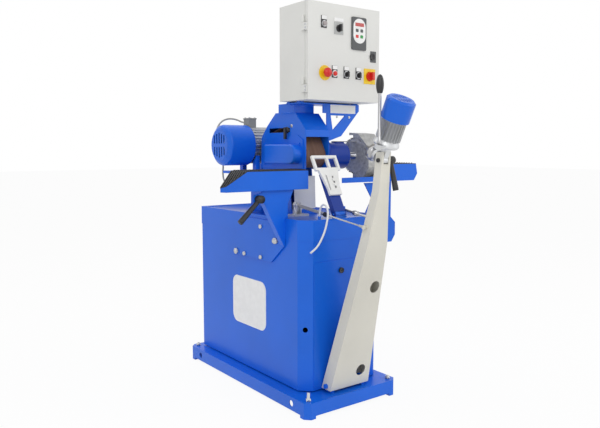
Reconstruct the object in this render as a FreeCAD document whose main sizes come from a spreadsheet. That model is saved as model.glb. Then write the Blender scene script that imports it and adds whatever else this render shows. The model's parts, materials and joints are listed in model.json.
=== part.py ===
import FreeCAD, Part
import math
import os
import re
import Sketcher

# Wet grinding and polishing machine for round and straight machine knives.
# Millimetres, +Z up, the operator stands on the -Y side.  Pieces are laid out from the middle of
# the base frame; origin_x and origin_y then carry them to the row's origin, which lies on the
# floor under the middle of the whole machine.

SIZES = {
    "origin_x": -39.5, "origin_y": 149.148,
    # base frame: folded sheet tray on four corner posts
    "base_long": 996, "base_wide": 500, "base_top": 68, "rail_gap": 12, "base_sheet": 4,
    "base_cut": 22, "post": 46, "lift_hole_r": 13, "lift_hole_y": 390, "lift_hole_z": 41,
    "stud_r": 6, "stud_inset": 30, "stud_high": 35, "stud_low": 14, "stud_fit": 0.5,
    "nut_flats": 19, "nut_thick": 10,
    # tank cabinet under the works
    "tank_left": 194, "tank_right": 238, "tank_front": 405, "tank_back": "=base_long / 2 - 42", "tank_cut": 46,
    "tank_foot": 73, "tank_top": 784, "tank_wall": 3, "band_proud": 2, "band_low": 702,
    "foot_wide": 40, "corner_hole_r": 11, "corner_hole_z": 333,
    "lid_thick": 6, "lid_dish": 4, "lid_rim": 12,
    "cover_gap": 14, "cover_sheet": 3, "cover_left": 130, "cover_right": 175, "cover_low": 100,
    "cover_high": 600, "lock_r": 11, "lock_proud": 7, "lock_x": -2, "lock_z": 570,
    "bin_left": 150, "bin_right": 190, "bin_front": 100, "bin_back": 400, "bin_high": 300,
    "bin_wall": 3, "pump_x": 110, "pump_y": 300, "pump_r": 55, "pump_high": 130,
    "pump_tube_r": 28, "pump_flange": 8,
    # brackets and hand rests
    "bracket_sheet": 6, "bracket_low": 592, "bracket_high": 772, "gusset_y": 275, "clamp_x": -330,
    "clamp_z": 877,
    "bolt_r": 5, "bolt_head_r": 9, "bolt_head": 7, "cap_nut_r": 13, "cap_nut": 11,
    "bolt_fit": 0.3, "gap": 0.3,
    "rest_front": 290, "rest_back": 173, "rest_sheet": 3, "rest_skirt": 79,
    "left_rest_low": 910, "left_rest_out": 486, "left_rest_in": 85, "left_kink": 388,
    "left_tip_z": 23, "right_rest_low": 929, "right_rest_out": 573, "right_rest_in": 102,
    "right_deck_in": 372, "rail_high": 23,
    "mat_sheet": 2, "rib_high": 3, "rib_wide": 5, "rib_pitch": 12, "rib_turn": 42,
    # belt housing
    "house_half": 65, "house_sheet": 3, "house_low": 988, "lip_low": 1131, "lip_high": 1160,
    "house_front": 244, "roof_front": 169, "house_top": 1236, "roof_back": 12,
    "back_break_y": 52, "back_break_z": 1183, "back_low_y": 100, "back_low_z": 1130,
    "house_back": 106, "slot_low": 1152, "slot_high": 1172, "slot_front": 128, "slot_back": 34,
    "leg_sheet": 6, "leg_foot_front": 145, "leg_foot_back": 60, "leg_top_front": 120,
    "leg_top_back": 90, "cross_high": 25, "cross_front": 160, "splash_sheet": 2,
    # wheels and belts
    "wheel_y": -182, "wheel_z": 1048, "wheel_r": 50, "wheel_wide": 110,
    "drum_y": 20, "drum_z": 1090, "drum_r": 60, "idler_y": -140, "idler_z": 1180, "idler_r": 22,
    "belt_wide": 106, "belt_thick": 1.5, "belt_gap": 0.3, "spindle_r": 14, "spindle_fit": 0.05,
    "drum_shaft_r": 12, "idler_shaft_r": 8,
    "cover_proud": 45, "bulge_r": 43, "bulge_back": 14, "cover_edge": 16,
    "bearing_out": 200, "bearing_r": 60, "bearing_flange_r": 76, "bearing_flange": 12,
    "nose_r": 42,
    "brush_in": 272, "brush_out": 356, "brush_r": 90, "brush_core_r": 72, "brush_bore_r": 58,
    "flange_thick": 4, "lock_nut_r": 24, "lock_nut": 16,
    "guard_sheet": 2, "guard_in": 264, "guard_out": 366, "guard_front": 284, "guard_top": 1155,
    "guard_break_z": 1083, "guard_low_z": 995, "guard_foot": 936, "guard_back": 144,
    "cheek_r": 78,
    # drive motor behind the housing
    "motor_y": 190, "motor_z": 1096, "motor_r": 95, "cowl_out": 242, "cowl_in": 100,
    "frame_end": 50, "bell_end": 64, "motor_fins": 30, "fin_deep": 9, "motor_shaft_r": 12,
    "fan_r": 78, "pulley_in": 76, "pulley_wide": 22, "pulley_r": 44,
    "vee_thick": 7, "drive_guard_out": 112,
    "drive_guard_r": 60, "drive_guard_sheet": 2,
    "box_out": 92, "box_in": 52, "box_half": 24, "box_high": 34, 
    "stand_left": 60, "stand_right": 60, "stand_front": 112, "stand_back": 205,
    "stand_top": 963, "shelf_thick": 12, "shelf_left": 180, "shelf_back": 266,
    # control cabinet
    "cab_left": 115, "cab_right": 283, "cab_back": 122.5, "cab_seam": 303, "cab_front": 323.5,
    "cab_low": 1283, "cab_high": 1683, "cab_sheet": 2, "door_gap": 1, "hinge_r": 6,
    "hinge_pin_r": 3, "mast_front": 160, "mast_back": 40, "mast_sheet": 5, "mast_y": 226,
    "mast_plate": 6, "top_flange": 6, "lug": 5,
    # controls on the door
    "row_low": 1396, "stop_x": -26, "stop_plate_r": 31, "stop_r": 20, "stop_out": 34,
    "button_x": 27, "button_r": 11, "selector_x": 92, "selector_step": 68, "selector_r": 14,
    "main_x": 226, "main_half": 33, "main_knob_r": 21, "lamp_x": -32, "lamp_z": 1596,
    "cam_x": 48, "cam_z": 1584, "cam_half": 25, "plate_thick": 2.5, "key_x": 241, "key_z": 1482,
    "panel_left": 119, "panel_right": 201, "panel_low": 1504, "panel_high": 1642,
    "panel_thick": 6,
    # swing arm
    "hinge_y": -440, "hinge_z": 96, "arm_foot_half": 105, "arm_knee_half": 52,
    "arm_neck_half": 26, "arm_top_half": 22, "arm_foot_y": 467, "arm_knee_y": 629,
    "arm_neck_y": 660, "arm_top_y": 672, "arm_foot_z": 81, "arm_knee_z": 713,
    "arm_neck_z": 919, "arm_top_z": 1068, "arm_foot_deep": 58, "arm_knee_deep": 50,
    "arm_neck_deep": 40, "arm_top_deep": 36, "arm_sheet": 4, "arm_hole_r": 25,
    "arm_pin_r": 10, "pin_fit": 0.05, "ear_half": 90, "ear_thick": 14,
    # head on the arm
    "head_y": -652, "head_z": 1036, "head_tilt": 26, "tongue_half": 12, "head_pin_r": 6,
    "skirt_low": 58, "skirt_high": 86, "skirt_r": 52, "head_axis_back": 14, "head_body_r": 49,
    "head_body_high": 172, "head_cowl_r": 57, "head_cowl_high": 249, "head_fins": 24,
    "nose_low_r": 24, "nose_reach": 46, "blade_spindle_r": 11, "blade_hub_r": 32,
    "blade_hub": 26, "blade_pin_r": 12.7, "blade_pin": 30,
    "rod_x": -68, "rod_r": 7, "rod_top": 1290, "rod_knob_r": 15,
    # gas strut
    "strut_x": -60, "strut_y": -176, "strut_z": 832, "strut_end_y": -612, "strut_end_z": 776,
    "tube_r": 7, "tube_bore_r": 5, "tube_long": 215, "rod_thin_r": 3, "strut_eye_r": 10,
    "strut_pin_r": 4, "eye_half": 6,
    # knife rest
    "rest_foot_y": -390, "rest_foot_z": 806, "rest_lean": 28, "channel_half": 29,
    "channel_deep": 25, "channel_sheet": 3, "channel_long": 190, "plate_deep": 12,
    "frame_half": 68, "frame_low": 195, "frame_high": 265, "frame_bar": 12, "divider_x": 12,
    "plate_foot_half": 33, "plate_shoulder_half": 52, "plate_low": 80,
    "stop_rod_x": 58, "stop_rod_y": -350, "stop_rod_z": 821, "stop_rod_long": 150,
    "stop_rod_r": 5, "stop_knob_r": 11,
    # loose leads
    "hose_r": 4.2, "cable_r": 4,
}

doc = FreeCAD.newDocument("WetGrindingSharpener")
sheet = doc.addObject("Spreadsheet::Sheet", "Sizes")
for row, (alias, number) in enumerate(SIZES.items(), start=1):
    sheet.set(f"A{row}", alias)
    sheet.set(f"B{row}", str(number))
    sheet.setAlias(f"B{row}", alias)
doc.recompute()

PLANES = {"xy": "XY_Plane", "xz": "XZ_Plane", "yz": "YZ_Plane"}
nodes = []


def bound(text):
    """The expression with every size written as a cell of the sheet, doubled signs merged."""
    text = re.sub(r"-\s*-", "+ ", str(text))
    text = re.sub(r"\+\s*-", "- ", text)
    return re.sub(r"[a-z][a-z_0-9]*", lambda m: "Sizes." + m[0] if m[0] in SIZES else m[0], text)


def num(text):
    """The value of an expression in millimetres or degrees."""
    return float(sheet.evalExpression(bound(text)))


def bind(obj, field, text):
    """Set a property and tie it to the sheet when a size is named in it."""
    if re.search(r"[a-z]", str(text)):
        obj.setExpression(field, bound(text))
    else:
        target, _, last = field.rpartition(".")
        if target:
            obj.setExpression(field, str(text))
        else:
            setattr(obj, last, num(text))


def node(obj, label, x="0", y="0", z="0", turn=0.0, axis=(1, 0, 0)):
    """Name a finished piece and carry it to its place."""
    obj.Label = label
    base = FreeCAD.Vector(num(f"origin_x + {x}"), num(f"origin_y + {y}"), num(z))
    obj.Placement = FreeCAD.Placement(base, FreeCAD.Rotation(FreeCAD.Vector(*axis), turn))
    bind(obj, "Placement.Base.x", f"origin_x + {x}")
    bind(obj, "Placement.Base.y", f"origin_y + {y}")
    bind(obj, "Placement.Base.z", z)
    nodes.append(obj)
    return obj


# ---- sketches, pads and turned profiles ---------------------------------------------------

def outline(body, plane, loops, level):
    """A sketch of closed polygons and circles on one of the body's own origin planes."""
    sketch = body.newObject("Sketcher::SketchObject", body.Name + "_outline")
    for feature in body.Origin.OriginFeatures:
        if feature.Role == PLANES[plane]:
            sketch.AttachmentSupport = [(feature, "")]
    sketch.MapMode = "FlatFace"
    bind(sketch, "AttachmentOffset.Base.z", f"-({level})" if plane == "xz" else level)
    for loop in loops:
        if len(loop) == 3 and not isinstance(loop[0], (tuple, list)):
            add_circle(sketch, *loop)
        else:
            add_polygon(sketch, loop)
    return sketch


def add_circle(sketch, across, up, radius):
    centre = FreeCAD.Vector(num(across), num(up), 0)
    index = sketch.addGeometry(Part.Circle(centre, FreeCAD.Vector(0, 0, 1), num(radius)), False)
    dimension(sketch, ("DistanceX", -1, 1, index, 3), across)
    dimension(sketch, ("DistanceY", -1, 1, index, 3), up)
    dimension(sketch, ("Radius", index), radius)


def add_polygon(sketch, corners):
    points = [FreeCAD.Vector(num(a), num(b), 0) for a, b in corners]
    first = sketch.GeometryCount
    count = len(points)
    for i in range(count):
        sketch.addGeometry(Part.LineSegment(points[i], points[(i + 1) % count]), False)
    for i in range(count):
        sketch.addConstraint(Sketcher.Constraint("Coincident", first + i, 2,
                                                 first + (i + 1) % count, 1))
    for i, (a, b) in enumerate(corners):
        dimension(sketch, ("DistanceX", -1, 1, first + i, 1), a)
        dimension(sketch, ("DistanceY", -1, 1, first + i, 1), b)


def dimension(sketch, where, text):
    index = sketch.addConstraint(Sketcher.Constraint(*where, num(text)))
    if re.search(r"[a-z]", str(text)):
        sketch.setExpression(f"Constraints[{index}]", bound(text))


def new_body(name):
    return doc.addObject("PartDesign::Body", name)


def pad(body, plane, loops, low, high):
    """Pad an outline from one level of the third axis to another."""
    feature = body.newObject("PartDesign::Pad", body.Name + "_pad")
    feature.Profile = outline(body, plane, loops, high if plane == "xz" else low)
    bind(feature, "Length", f"({high}) - ({low})")
    return feature


def pocket(body, plane, loops, low, high):
    """Cut an outline away between two levels of the third axis."""
    feature = body.newObject("PartDesign::Pocket", body.Name + "_pocket")
    feature.Profile = outline(body, plane, loops, low if plane == "xz" else high)
    bind(feature, "Length", f"({high}) - ({low})")
    return feature


def prism(name, plane, loops, low, high):
    body = new_body(name)
    pad(body, plane, loops, low, high)
    return body


def turned(name, profile, upright=False):
    """A body turned about its own X axis, or about Z when upright, from (along, radius) points."""
    body = new_body(name)
    feature = body.newObject("PartDesign::Revolution", body.Name + "_turn")
    if upright:
        points = [(radius, along) for along, radius in profile]
        sketch = outline(body, "xz", [points], "0")
        feature.Profile = sketch
        feature.ReferenceAxis = (sketch, ["V_Axis"])
    else:
        sketch = outline(body, "xy", [profile], "0")
        feature.Profile = sketch
        feature.ReferenceAxis = (sketch, ["H_Axis"])
    feature.Angle = 360
    return body


def soften(body, radius, picks):
    """Fillet the tip's edges that a test picks."""
    doc.recompute()
    base = body.Tip
    edges = [f"Edge{i}" for i, edge in enumerate(base.Shape.Edges, start=1) if picks(edge)]
    feature = body.newObject("PartDesign::Fillet", body.Name + "_round")
    feature.Base = (base, edges)
    bind(feature, "Radius", radius)
    return feature


def along(axis):
    """An edge test: straight and parallel to one axis."""
    def test(edge):
        if not isinstance(edge.Curve, Part.Line):
            return False
        return abs(abs(edge.Curve.Direction.dot(FreeCAD.Vector(*axis))) - 1) < 1e-6
    return test


# ---- primitives and booleans ---------------------------------------------------------------

def box(x0, x1, y0, y1, z0, z1):
    block = doc.addObject("Part::Box", "block")
    for field, low, high in (("Length", x0, x1), ("Width", y0, y1), ("Height", z0, z1)):
        bind(block, field, f"({high}) - ({low})")
    for field, low in (("x", x0), ("y", y0), ("z", z0)):
        bind(block, "Placement.Base." + field, low)
    return block


def rod(axis, centre, radius, low, high):
    """A cylinder along x, y or z whose centre gives the two other coordinates in order."""
    bar = doc.addObject("Part::Cylinder", "bar")
    bind(bar, "Radius", radius)
    bind(bar, "Height", f"({high}) - ({low})")
    turns = {"x": ((0, 1, 0), 90), "y": ((1, 0, 0), -90), "z": ((0, 0, 1), 0)}
    bar.Placement = FreeCAD.Placement(FreeCAD.Vector(0, 0, 0),
                                      FreeCAD.Rotation(FreeCAD.Vector(*turns[axis][0]), turns[axis][1]))
    fields = [f for f in "xyz" if f != axis]
    bind(bar, "Placement.Base." + axis, low)
    bind(bar, "Placement.Base." + fields[0], centre[0])
    bind(bar, "Placement.Base." + fields[1], centre[1])
    return bar


def hexagon(centre, flats, low, high):
    """An upright six-sided nut or bolt head."""
    prism6 = doc.addObject("Part::Prism", "hexagon")
    prism6.Polygon = 6
    bind(prism6, "Circumradius", f"({flats}) / sqrt(3)")
    bind(prism6, "Height", f"({high}) - ({low})")
    bind(prism6, "Placement.Base.x", centre[0])
    bind(prism6, "Placement.Base.y", centre[1])
    bind(prism6, "Placement.Base.z", low)
    return prism6


def join(*pieces):
    fuse = doc.addObject("Part::MultiFuse", "join")
    fuse.Shapes = list(pieces)
    fuse.Refine = True
    return fuse


def cut(base, *tools):
    result = doc.addObject("Part::Cut", "cut")
    result.Base = base
    result.Tool = tools[0] if len(tools) == 1 else group(*tools)
    result.Refine = True
    return result


def common(base, tool):
    result = doc.addObject("Part::Common", "common")
    result.Base = base
    result.Tool = tool
    result.Refine = True
    return result


def group(*pieces):
    compound = doc.addObject("Part::Compound", "group")
    compound.Links = list(pieces)
    return compound


def shaped(shape):
    """A piece whose form comes from a formula."""
    feature = doc.addObject("Part::Feature", "shaped")
    feature.Shape = shape
    return feature


def wrap_loop(wheels, offset, low, high):
    """A solid filling the loop wrapped round wheels (y, z, radius), each radius grown by offset."""
    points = []
    count = len(wheels)
    edges = []
    tangents = []
    for i in range(count):
        y0, z0, r0 = wheels[i]
        y1, z1, r1 = wheels[(i + 1) % count]
        span = math.hypot(y1 - y0, z1 - z0)
        heading = math.atan2(z1 - z0, y1 - y0)
        lean = math.acos((r0 - r1) / span)
        side = heading + lean
        start = (y0 + (r0 + offset) * math.cos(side), z0 + (r0 + offset) * math.sin(side))
        end = (y1 + (r1 + offset) * math.cos(side), z1 + (r1 + offset) * math.sin(side))
        tangents.append((start, end))
    for i in range(count):
        start, end = tangents[i]
        edges.append(Part.LineSegment(at(low, start), at(low, end)).toShape())
        y1, z1, r1 = wheels[(i + 1) % count]
        leave = tangents[(i + 1) % count][0]
        a0 = math.atan2(end[1] - z1, end[0] - y1)
        a1 = math.atan2(leave[1] - z1, leave[0] - y1)
        while a1 > a0:
            a1 -= 2 * math.pi
        middle = (a0 + a1) / 2
        top = (y1 + (r1 + offset) * math.cos(middle), z1 + (r1 + offset) * math.sin(middle))
        edges.append(Part.Arc(at(low, end), at(low, top), at(low, leave)).toShape())
    face = Part.Face(Part.Wire(edges))
    return face.extrude(FreeCAD.Vector(high - low, 0, 0))


def at(x, pair):
    return FreeCAD.Vector(x, pair[0], pair[1])


def lead(points, radius):
    """A lead's solid: straight runs joined by tangent arcs, swept with a round section."""
    route = [FreeCAD.Vector(*p) for p in points]
    edges = []
    start = route[0]
    for before, corner, after in zip(route, route[1:], route[2:]):
        inward = (before - corner).normalize()
        outward = (after - corner).normalize()
        turn = math.pi - inward.getAngle(outward)
        shorter = min((before - corner).Length, (after - corner).Length)
        back = 0.45 * shorter
        arc_start = corner + inward * back
        arc_end = corner + outward * back
        bend = back / math.tan(turn / 2)
        print(f"  bend radius {bend:.1f}")
        centre_way = (inward + outward).normalize()
        centre = corner + centre_way * math.hypot(bend, back)
        middle = centre - centre_way * bend
        edges.append(Part.LineSegment(start, arc_start).toShape())
        edges.append(Part.Arc(arc_start, middle, arc_end).toShape())
        start = arc_end
    edges.append(Part.LineSegment(start, route[-1]).toShape())
    path = Part.Wire(edges)
    section = Part.Wire(Part.makeCircle(radius, route[0], route[1] - route[0]))
    solid = path.makePipeShell([section], True, True)
    print(f"  lead {path.Length:.0f} long, volume ratio "
          f"{solid.Volume / (math.pi * radius ** 2 * path.Length):.3f}")
    return solid


def finned(name, plane, core_r, fin_r, fins, fin_wide, low, high):
    """A motor's finned frame, centred on the third axis."""
    body = new_body(name)
    pad(body, plane, [("0", "0", core_r)], low, high)
    half = f"{fin_wide} / 2"
    fin = pad(body, plane, [[(f"{core_r} - 4", f"-{half}"), (fin_r, f"-{half}"),
                             (fin_r, half), (f"{core_r} - 4", half)]], low, high)
    pattern = body.newObject("PartDesign::PolarPattern", body.Name + "_fins")
    pattern.Originals = [fin]
    pattern.Axis = (fin.Profile[0], ["N_Axis"])
    pattern.Angle = 360
    bind(pattern, "Occurrences", fins)
    body.Tip = pattern
    return body


def clamp_lever(label, x, y, z, along_hub, along_handle, reach, screw):
    """A black clamping lever: a hub on its long screw and a tapered handle cranked off it."""
    hub = join(rod("z", ("0", "0"), "14", "0", "26"), rod("z", ("0", "0"), "head_pin_r", f"-({screw})", "1"))
    cap = rod("z", ("0", "0"), "10", "26", "31")
    handle = doc.addObject("Part::Cone", "handle")
    handle.Radius1 = 6
    handle.Radius2 = 9
    bind(handle, "Height", reach)
    handle.Placement = FreeCAD.Placement(FreeCAD.Vector(6, 0, 15),
                                         FreeCAD.Rotation(FreeCAD.Vector(0, 1, 0), 84))
    lever = node(join(hub, cap, handle), label, x, y, z)
    z_way = FreeCAD.Vector(*along_hub).normalize()
    x_way = FreeCAD.Vector(*along_handle).normalize()
    lever.Placement = FreeCAD.Placement(lever.Placement.Base,
                                        FreeCAD.Rotation(x_way, z_way.cross(x_way), z_way, "ZXY"))


# ---- base and tank --------------------------------------------------------------------------

def plan(half_long, half_wide, corner, inset="0"):
    """Corners of a rectangle round the middle with cut corners, drawn in by an inset."""
    x, y, c = f"({half_wide} - {inset})", f"({half_long} - {inset})", f"({corner})"
    return [(f"-{x}", f"{c} - {y}"), (f"{c} - {x}", f"-{y}"), (f"{x} - {c}", f"-{y}"),
            (x, f"{c} - {y}"), (x, f"{y} - {c}"), (f"{x} - {c}", y),
            (f"{c} - {x}", y), (f"-{x}", f"{y} - {c}")]


CORNERS = [("-", "-"), ("", "-"), ("", ""), ("-", "")]


def stud_centre(sx, sy):
    return (f"{sx}(base_wide / 2 - stud_inset)", f"{sy}(base_long / 2 - stud_inset)")


def base_frame():
    body = new_body("base_body")
    pad(body, "xy", [plan("base_long / 2", "base_wide / 2", "base_cut")], "rail_gap", "base_top")
    pocket(body, "xy", [plan("base_long / 2", "base_wide / 2", "base_cut", "base_sheet")],
           "rail_gap", "base_top - base_sheet")
    posts = new_body("base_posts")
    pad(posts, "xy", [plan("base_long / 2", "base_wide / 2", "base_cut")], "0",
        "base_top - base_sheet")
    pocket(posts, "xy", [[("-base_wide", "post - base_long / 2"), ("base_wide", "post - base_long / 2"),
                          ("base_wide", "base_long / 2 - post"), ("-base_wide", "base_long / 2 - post")]],
           "0", "base_top")
    pocket(posts, "xy", [[("post - base_wide / 2", "-base_long"), ("base_wide / 2 - post", "-base_long"),
                          ("base_wide / 2 - post", "base_long"), ("post - base_wide / 2", "base_long")]],
           "0", "base_top")
    holes = [rod("z", stud_centre(sx, sy), "stud_r + stud_fit", "0", "base_top") for sx, sy in CORNERS]
    for side in ("-", ""):
        for end in ("-", ""):
            holes.append(rod("x", (f"{end}lift_hole_y", "lift_hole_z"), "lift_hole_r",
                             f"{side}base_wide / 2 - 2 * base_sheet",
                             f"{side}base_wide / 2 + 2 * base_sheet"))
    ears, pin = arm_hinge()
    node(group(join(cut(join(body, posts), *holes), *ears), pin), "base_frame")


def levelling_studs():
    bolts = []
    for i, (sx, sy) in enumerate(CORNERS):
        centre = stud_centre(sx, sy)
        top = "base_top + stud_high" if i == 0 else "base_top + stud_low"
        bolts.append(join(rod("z", centre, "stud_r", "0", top),
                          hexagon(centre, "nut_flats", "base_top", "base_top + nut_thick")))
    return bolts


def tank_plan(grow):
    """The tank's plan with cut front corners, grown outwards."""
    return [(f"-tank_left - {grow}", f"tank_back + {grow}"),
            (f"-tank_left - {grow}", f"tank_cut - tank_front - {grow} / 2"),
            (f"tank_cut - tank_left - {grow} / 2", f"-tank_front - {grow}"),
            (f"tank_right - tank_cut + {grow} / 2", f"-tank_front - {grow}"),
            (f"tank_right + {grow}", f"tank_cut - tank_front - {grow} / 2"),
            (f"tank_right + {grow}", f"tank_back + {grow}")]


def tank_shell():
    body = new_body("tank_walls")
    pad(body, "xy", [tank_plan("0")], "tank_foot", "tank_top")
    pad(body, "xy", [tank_plan("band_proud")], "band_low", "tank_top")
    pocket(body, "xy", [tank_plan("-tank_wall")], "tank_foot + tank_wall", "tank_top")
    window = box("-cover_left", "cover_right", "-tank_front - 2 * tank_wall", "2 * tank_wall - tank_front",
                 "cover_low", "cover_high")
    hole = doc.addObject("Part::Cylinder", "corner_hole")
    bind(hole, "Radius", "corner_hole_r")
    bind(hole, "Height", "4 * tank_wall")
    hole.Placement = FreeCAD.Placement(
        FreeCAD.Vector(num("tank_cut / 2 - tank_left - 2 * tank_wall"),
                       num("tank_cut / 2 - tank_front - 2 * tank_wall"), num("corner_hole_z")),
        FreeCAD.Rotation(FreeCAD.Vector(0, 0, 1), -45)
        * FreeCAD.Rotation(FreeCAD.Vector(1, 0, 0), -90))
    lock_hole = rod("y", ("lock_x", "lock_z"), "lock_r", "-tank_front - 2 * tank_wall",
                    "2 * tank_wall - tank_front")
    tabs = [box(f"{x} - foot_wide / 2", f"{x} + foot_wide / 2", f"{y} - foot_wide / 2",
                f"{y} + foot_wide / 2", "base_top", "tank_foot")
            for x in ("foot_wide - tank_left", "tank_right - foot_wide")
            for y in ("2 * foot_wide - tank_front", "tank_back - foot_wide", "0")]
    node(join(cut(body, window, hole, lock_hole), *tabs), "tank_shell")


def drip_basin():
    body = new_body("basin_body")
    pad(body, "xy", [tank_plan("band_proud")], "tank_top", "tank_top + lid_thick")
    pocket(body, "xy", [tank_plan("-lid_rim")], "tank_top + lid_thick - lid_dish",
           "tank_top + lid_thick")
    node(group(join(body, rest_foot(), stop_post(), hose_barb())), "drip_basin")


BASIN = "(tank_top + lid_thick - lid_dish)"


def rest_foot():
    """The hinge foot of the knife rest, with its pin."""
    foot = join(box("gap + channel_sheet - channel_half", "channel_half - channel_sheet - gap",
                    "rest_foot_y - 14", "rest_foot_y + 14", BASIN, "rest_foot_z"),
                rod("x", ("rest_foot_y", "rest_foot_z"), "14 - 2 * gap",
                    "gap + channel_sheet - channel_half", "channel_half - channel_sheet - gap"))
    pin = rod("x", ("rest_foot_y", "rest_foot_z"), "strut_pin_r", "-channel_half - 3",
              "channel_half + 3")
    return join(foot, pin)


def stop_post():
    """The post that carries the stop rod."""
    post = join(box("stop_rod_x - 16", "stop_rod_x + 16", "stop_rod_y - 6", "stop_rod_y + 26", BASIN,
                    f"{BASIN} + 6"),
                box("stop_rod_x - 10", "stop_rod_x + 10", "stop_rod_y - 2", "stop_rod_y + 14",
                    f"{BASIN} + 6", "stop_rod_z + 12"))
    bore = doc.addObject("Part::Cylinder", "stop_bore")
    bind(bore, "Radius", "stop_rod_r + pin_fit")
    bind(bore, "Height", "stop_rod_long")
    lean = FreeCAD.Rotation(FreeCAD.Vector(1, 0, 0), stop_lean())
    foot = FreeCAD.Vector(num("stop_rod_x"), num("stop_rod_y"), num("stop_rod_z"))
    bore.Placement = FreeCAD.Placement(foot - lean.multVec(FreeCAD.Vector(0, 0, num("stop_rod_long / 2"))),
                                       lean)
    post = cut(post, bore)
    return post


def hose_barb():
    x, y, z = HOSE_ROUTE[0]
    return rod("z", (str(x), str(y)), "7", BASIN, str(z - 0.3))


def front_cover():
    body = new_body("cover_sheet_body")
    pad(body, "xz", [[("-cover_left - cover_gap", "cover_low - cover_gap"),
                      ("cover_right + cover_gap", "cover_low - cover_gap"),
                      ("cover_right + cover_gap", "cover_high + cover_gap"),
                      ("-cover_left - cover_gap", "cover_high + cover_gap")]],
        "-tank_front - cover_sheet", "-tank_front")
    pocket(body, "xz", [("lock_x", "lock_z", "lock_r - 1")], "-tank_front - cover_sheet",
           "-tank_front")
    soften(body, "12", along((0, 1, 0)))
    node(body, "front_cover")


def cover_lock():
    centre = ("lock_x", "lock_z")
    stem = rod("y", centre, "lock_r - 1 - gap", "-tank_front - cover_sheet", "-tank_front + 8")
    head = rod("y", centre, "lock_r + 1", "-tank_front - cover_sheet - lock_proud",
               "-tank_front - cover_sheet")
    tongue = box("lock_x - 8", "lock_x + 8", "-tank_front + 8", "-tank_front + 11",
                 "lock_z - 10", "lock_z + 40")
    slot = box("lock_x - 8", "lock_x + 8", "-tank_front - cover_sheet - lock_proud",
               "-tank_front - cover_sheet - 4", "lock_z - 1.5", "lock_z + 1.5")
    node(cut(join(stem, head, tongue), slot), "cover_lock")


def coolant_bin():
    outer = box("-bin_left", "bin_right", "-bin_front", "bin_back", "tank_foot + tank_wall",
                "tank_foot + tank_wall + bin_high")
    inner = box("bin_wall - bin_left", "bin_right - bin_wall", "bin_wall - bin_front",
                "bin_back - bin_wall", "tank_foot + tank_wall + bin_wall",
                "tank_foot + tank_wall + bin_high + 1")
    node(cut(outer, inner), "coolant_bin")


def coolant_pump():
    top = "tank_foot + tank_wall + bin_high"
    plate = box("pump_x - 75", "bin_right", "pump_y - 75", "bin_back", top, f"{top} + pump_flange")
    motor = rod("z", ("pump_x", "pump_y"), "pump_r", f"{top} + pump_flange",
                f"{top} + pump_flange + pump_high")
    hood = rod("z", ("pump_x", "pump_y"), "pump_r - 6", f"{top} + pump_flange + pump_high",
               f"{top} + pump_flange + pump_high + 10")
    tube = rod("z", ("pump_x", "pump_y"), "pump_tube_r", "tank_foot + tank_wall + bin_wall + 25", top)
    node(join(plate, motor, hood, tube), "coolant_pump")


# ---- brackets and hand rests ----------------------------------------------------------------

SIDE = "(-tank_left - band_proud)"
RIM = "(tank_top + lid_thick)"
RIGHT_SIDE = "(tank_right + band_proud)"
LEFT_DECK = "(left_rest_low + rest_skirt)"
RIGHT_DECK = "(right_rest_low + rest_skirt)"
LEFT_BOLTS = [("-99", "740"), ("-99", "604"), ("37", "603")]


def left_bracket():
    sheet_in = f"{SIDE} - bracket_sheet"
    plate = prism("left_side_plate", "yz",
                  [[("-gusset_y", "674"), ("-177", "bracket_low"), ("140", "bracket_low"),
                    ("140", "660"), ("20", "bracket_high"), ("-gusset_y", "bracket_high")]],
                  sheet_in, SIDE)
    holes = [rod("x", spot, "bolt_r + bolt_fit", f"{SIDE} - 2 * bracket_sheet", f"{SIDE} + 1")
             for spot in LEFT_BOLTS]
    top = f"{LEFT_DECK} - rest_sheet - gap"
    wing = prism("left_wing", "xz",
                 [[(sheet_in, "674"), ("-300", "862"), ("-352", "862"), ("-352", "892"),
                   ("-310", "902"), ("-300", top), ("-112", top), ("-182", "850"), ("-182", f"{RIM} + gap"),
                   (f"{SIDE} - 1", f"{RIM} + gap"), (f"{SIDE} - 1", "674")]],
                 "-gusset_y", "bracket_sheet - gusset_y")
    brace = prism("left_brace", "xz",
                  [[(f"{sheet_in} - 1.5", "676"), (f"{sheet_in} + 4", "676"), ("-294", "861"),
                    ("-302", "861")]],
                  "1 - gusset_y", "bracket_sheet - gusset_y + 24")
    screw_hole = rod("y", ("clamp_x", "clamp_z"), "head_pin_r + pin_fit", "-gusset_y - 1",
                     "bracket_sheet - gusset_y + 1")
    node(join(cut(plate, *holes), cut(wing, screw_hole), brace), "left_bracket")


def frame_bolts():
    face = f"{SIDE} - bracket_sheet"
    bolts = levelling_studs()
    for spot in LEFT_BOLTS:
        bolts.append(join(rod("x", spot, "bolt_head_r", f"{face} - bolt_head", face),
                          rod("x", spot, "bolt_r", face, SIDE)))
    bolts.append(join(rod("x", ("-217", "690"), "cap_nut_r", f"{face} - cap_nut", face),
                      rod("x", ("-217", "690"), "cap_nut_r - 4", f"{face} - cap_nut - 6",
                          f"{face} - cap_nut")))
    bolts.append(rod("x", ("107", "606"), "cap_nut_r", f"{face} - 9", face))
    node(group(*bolts), "frame_bolts")


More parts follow.
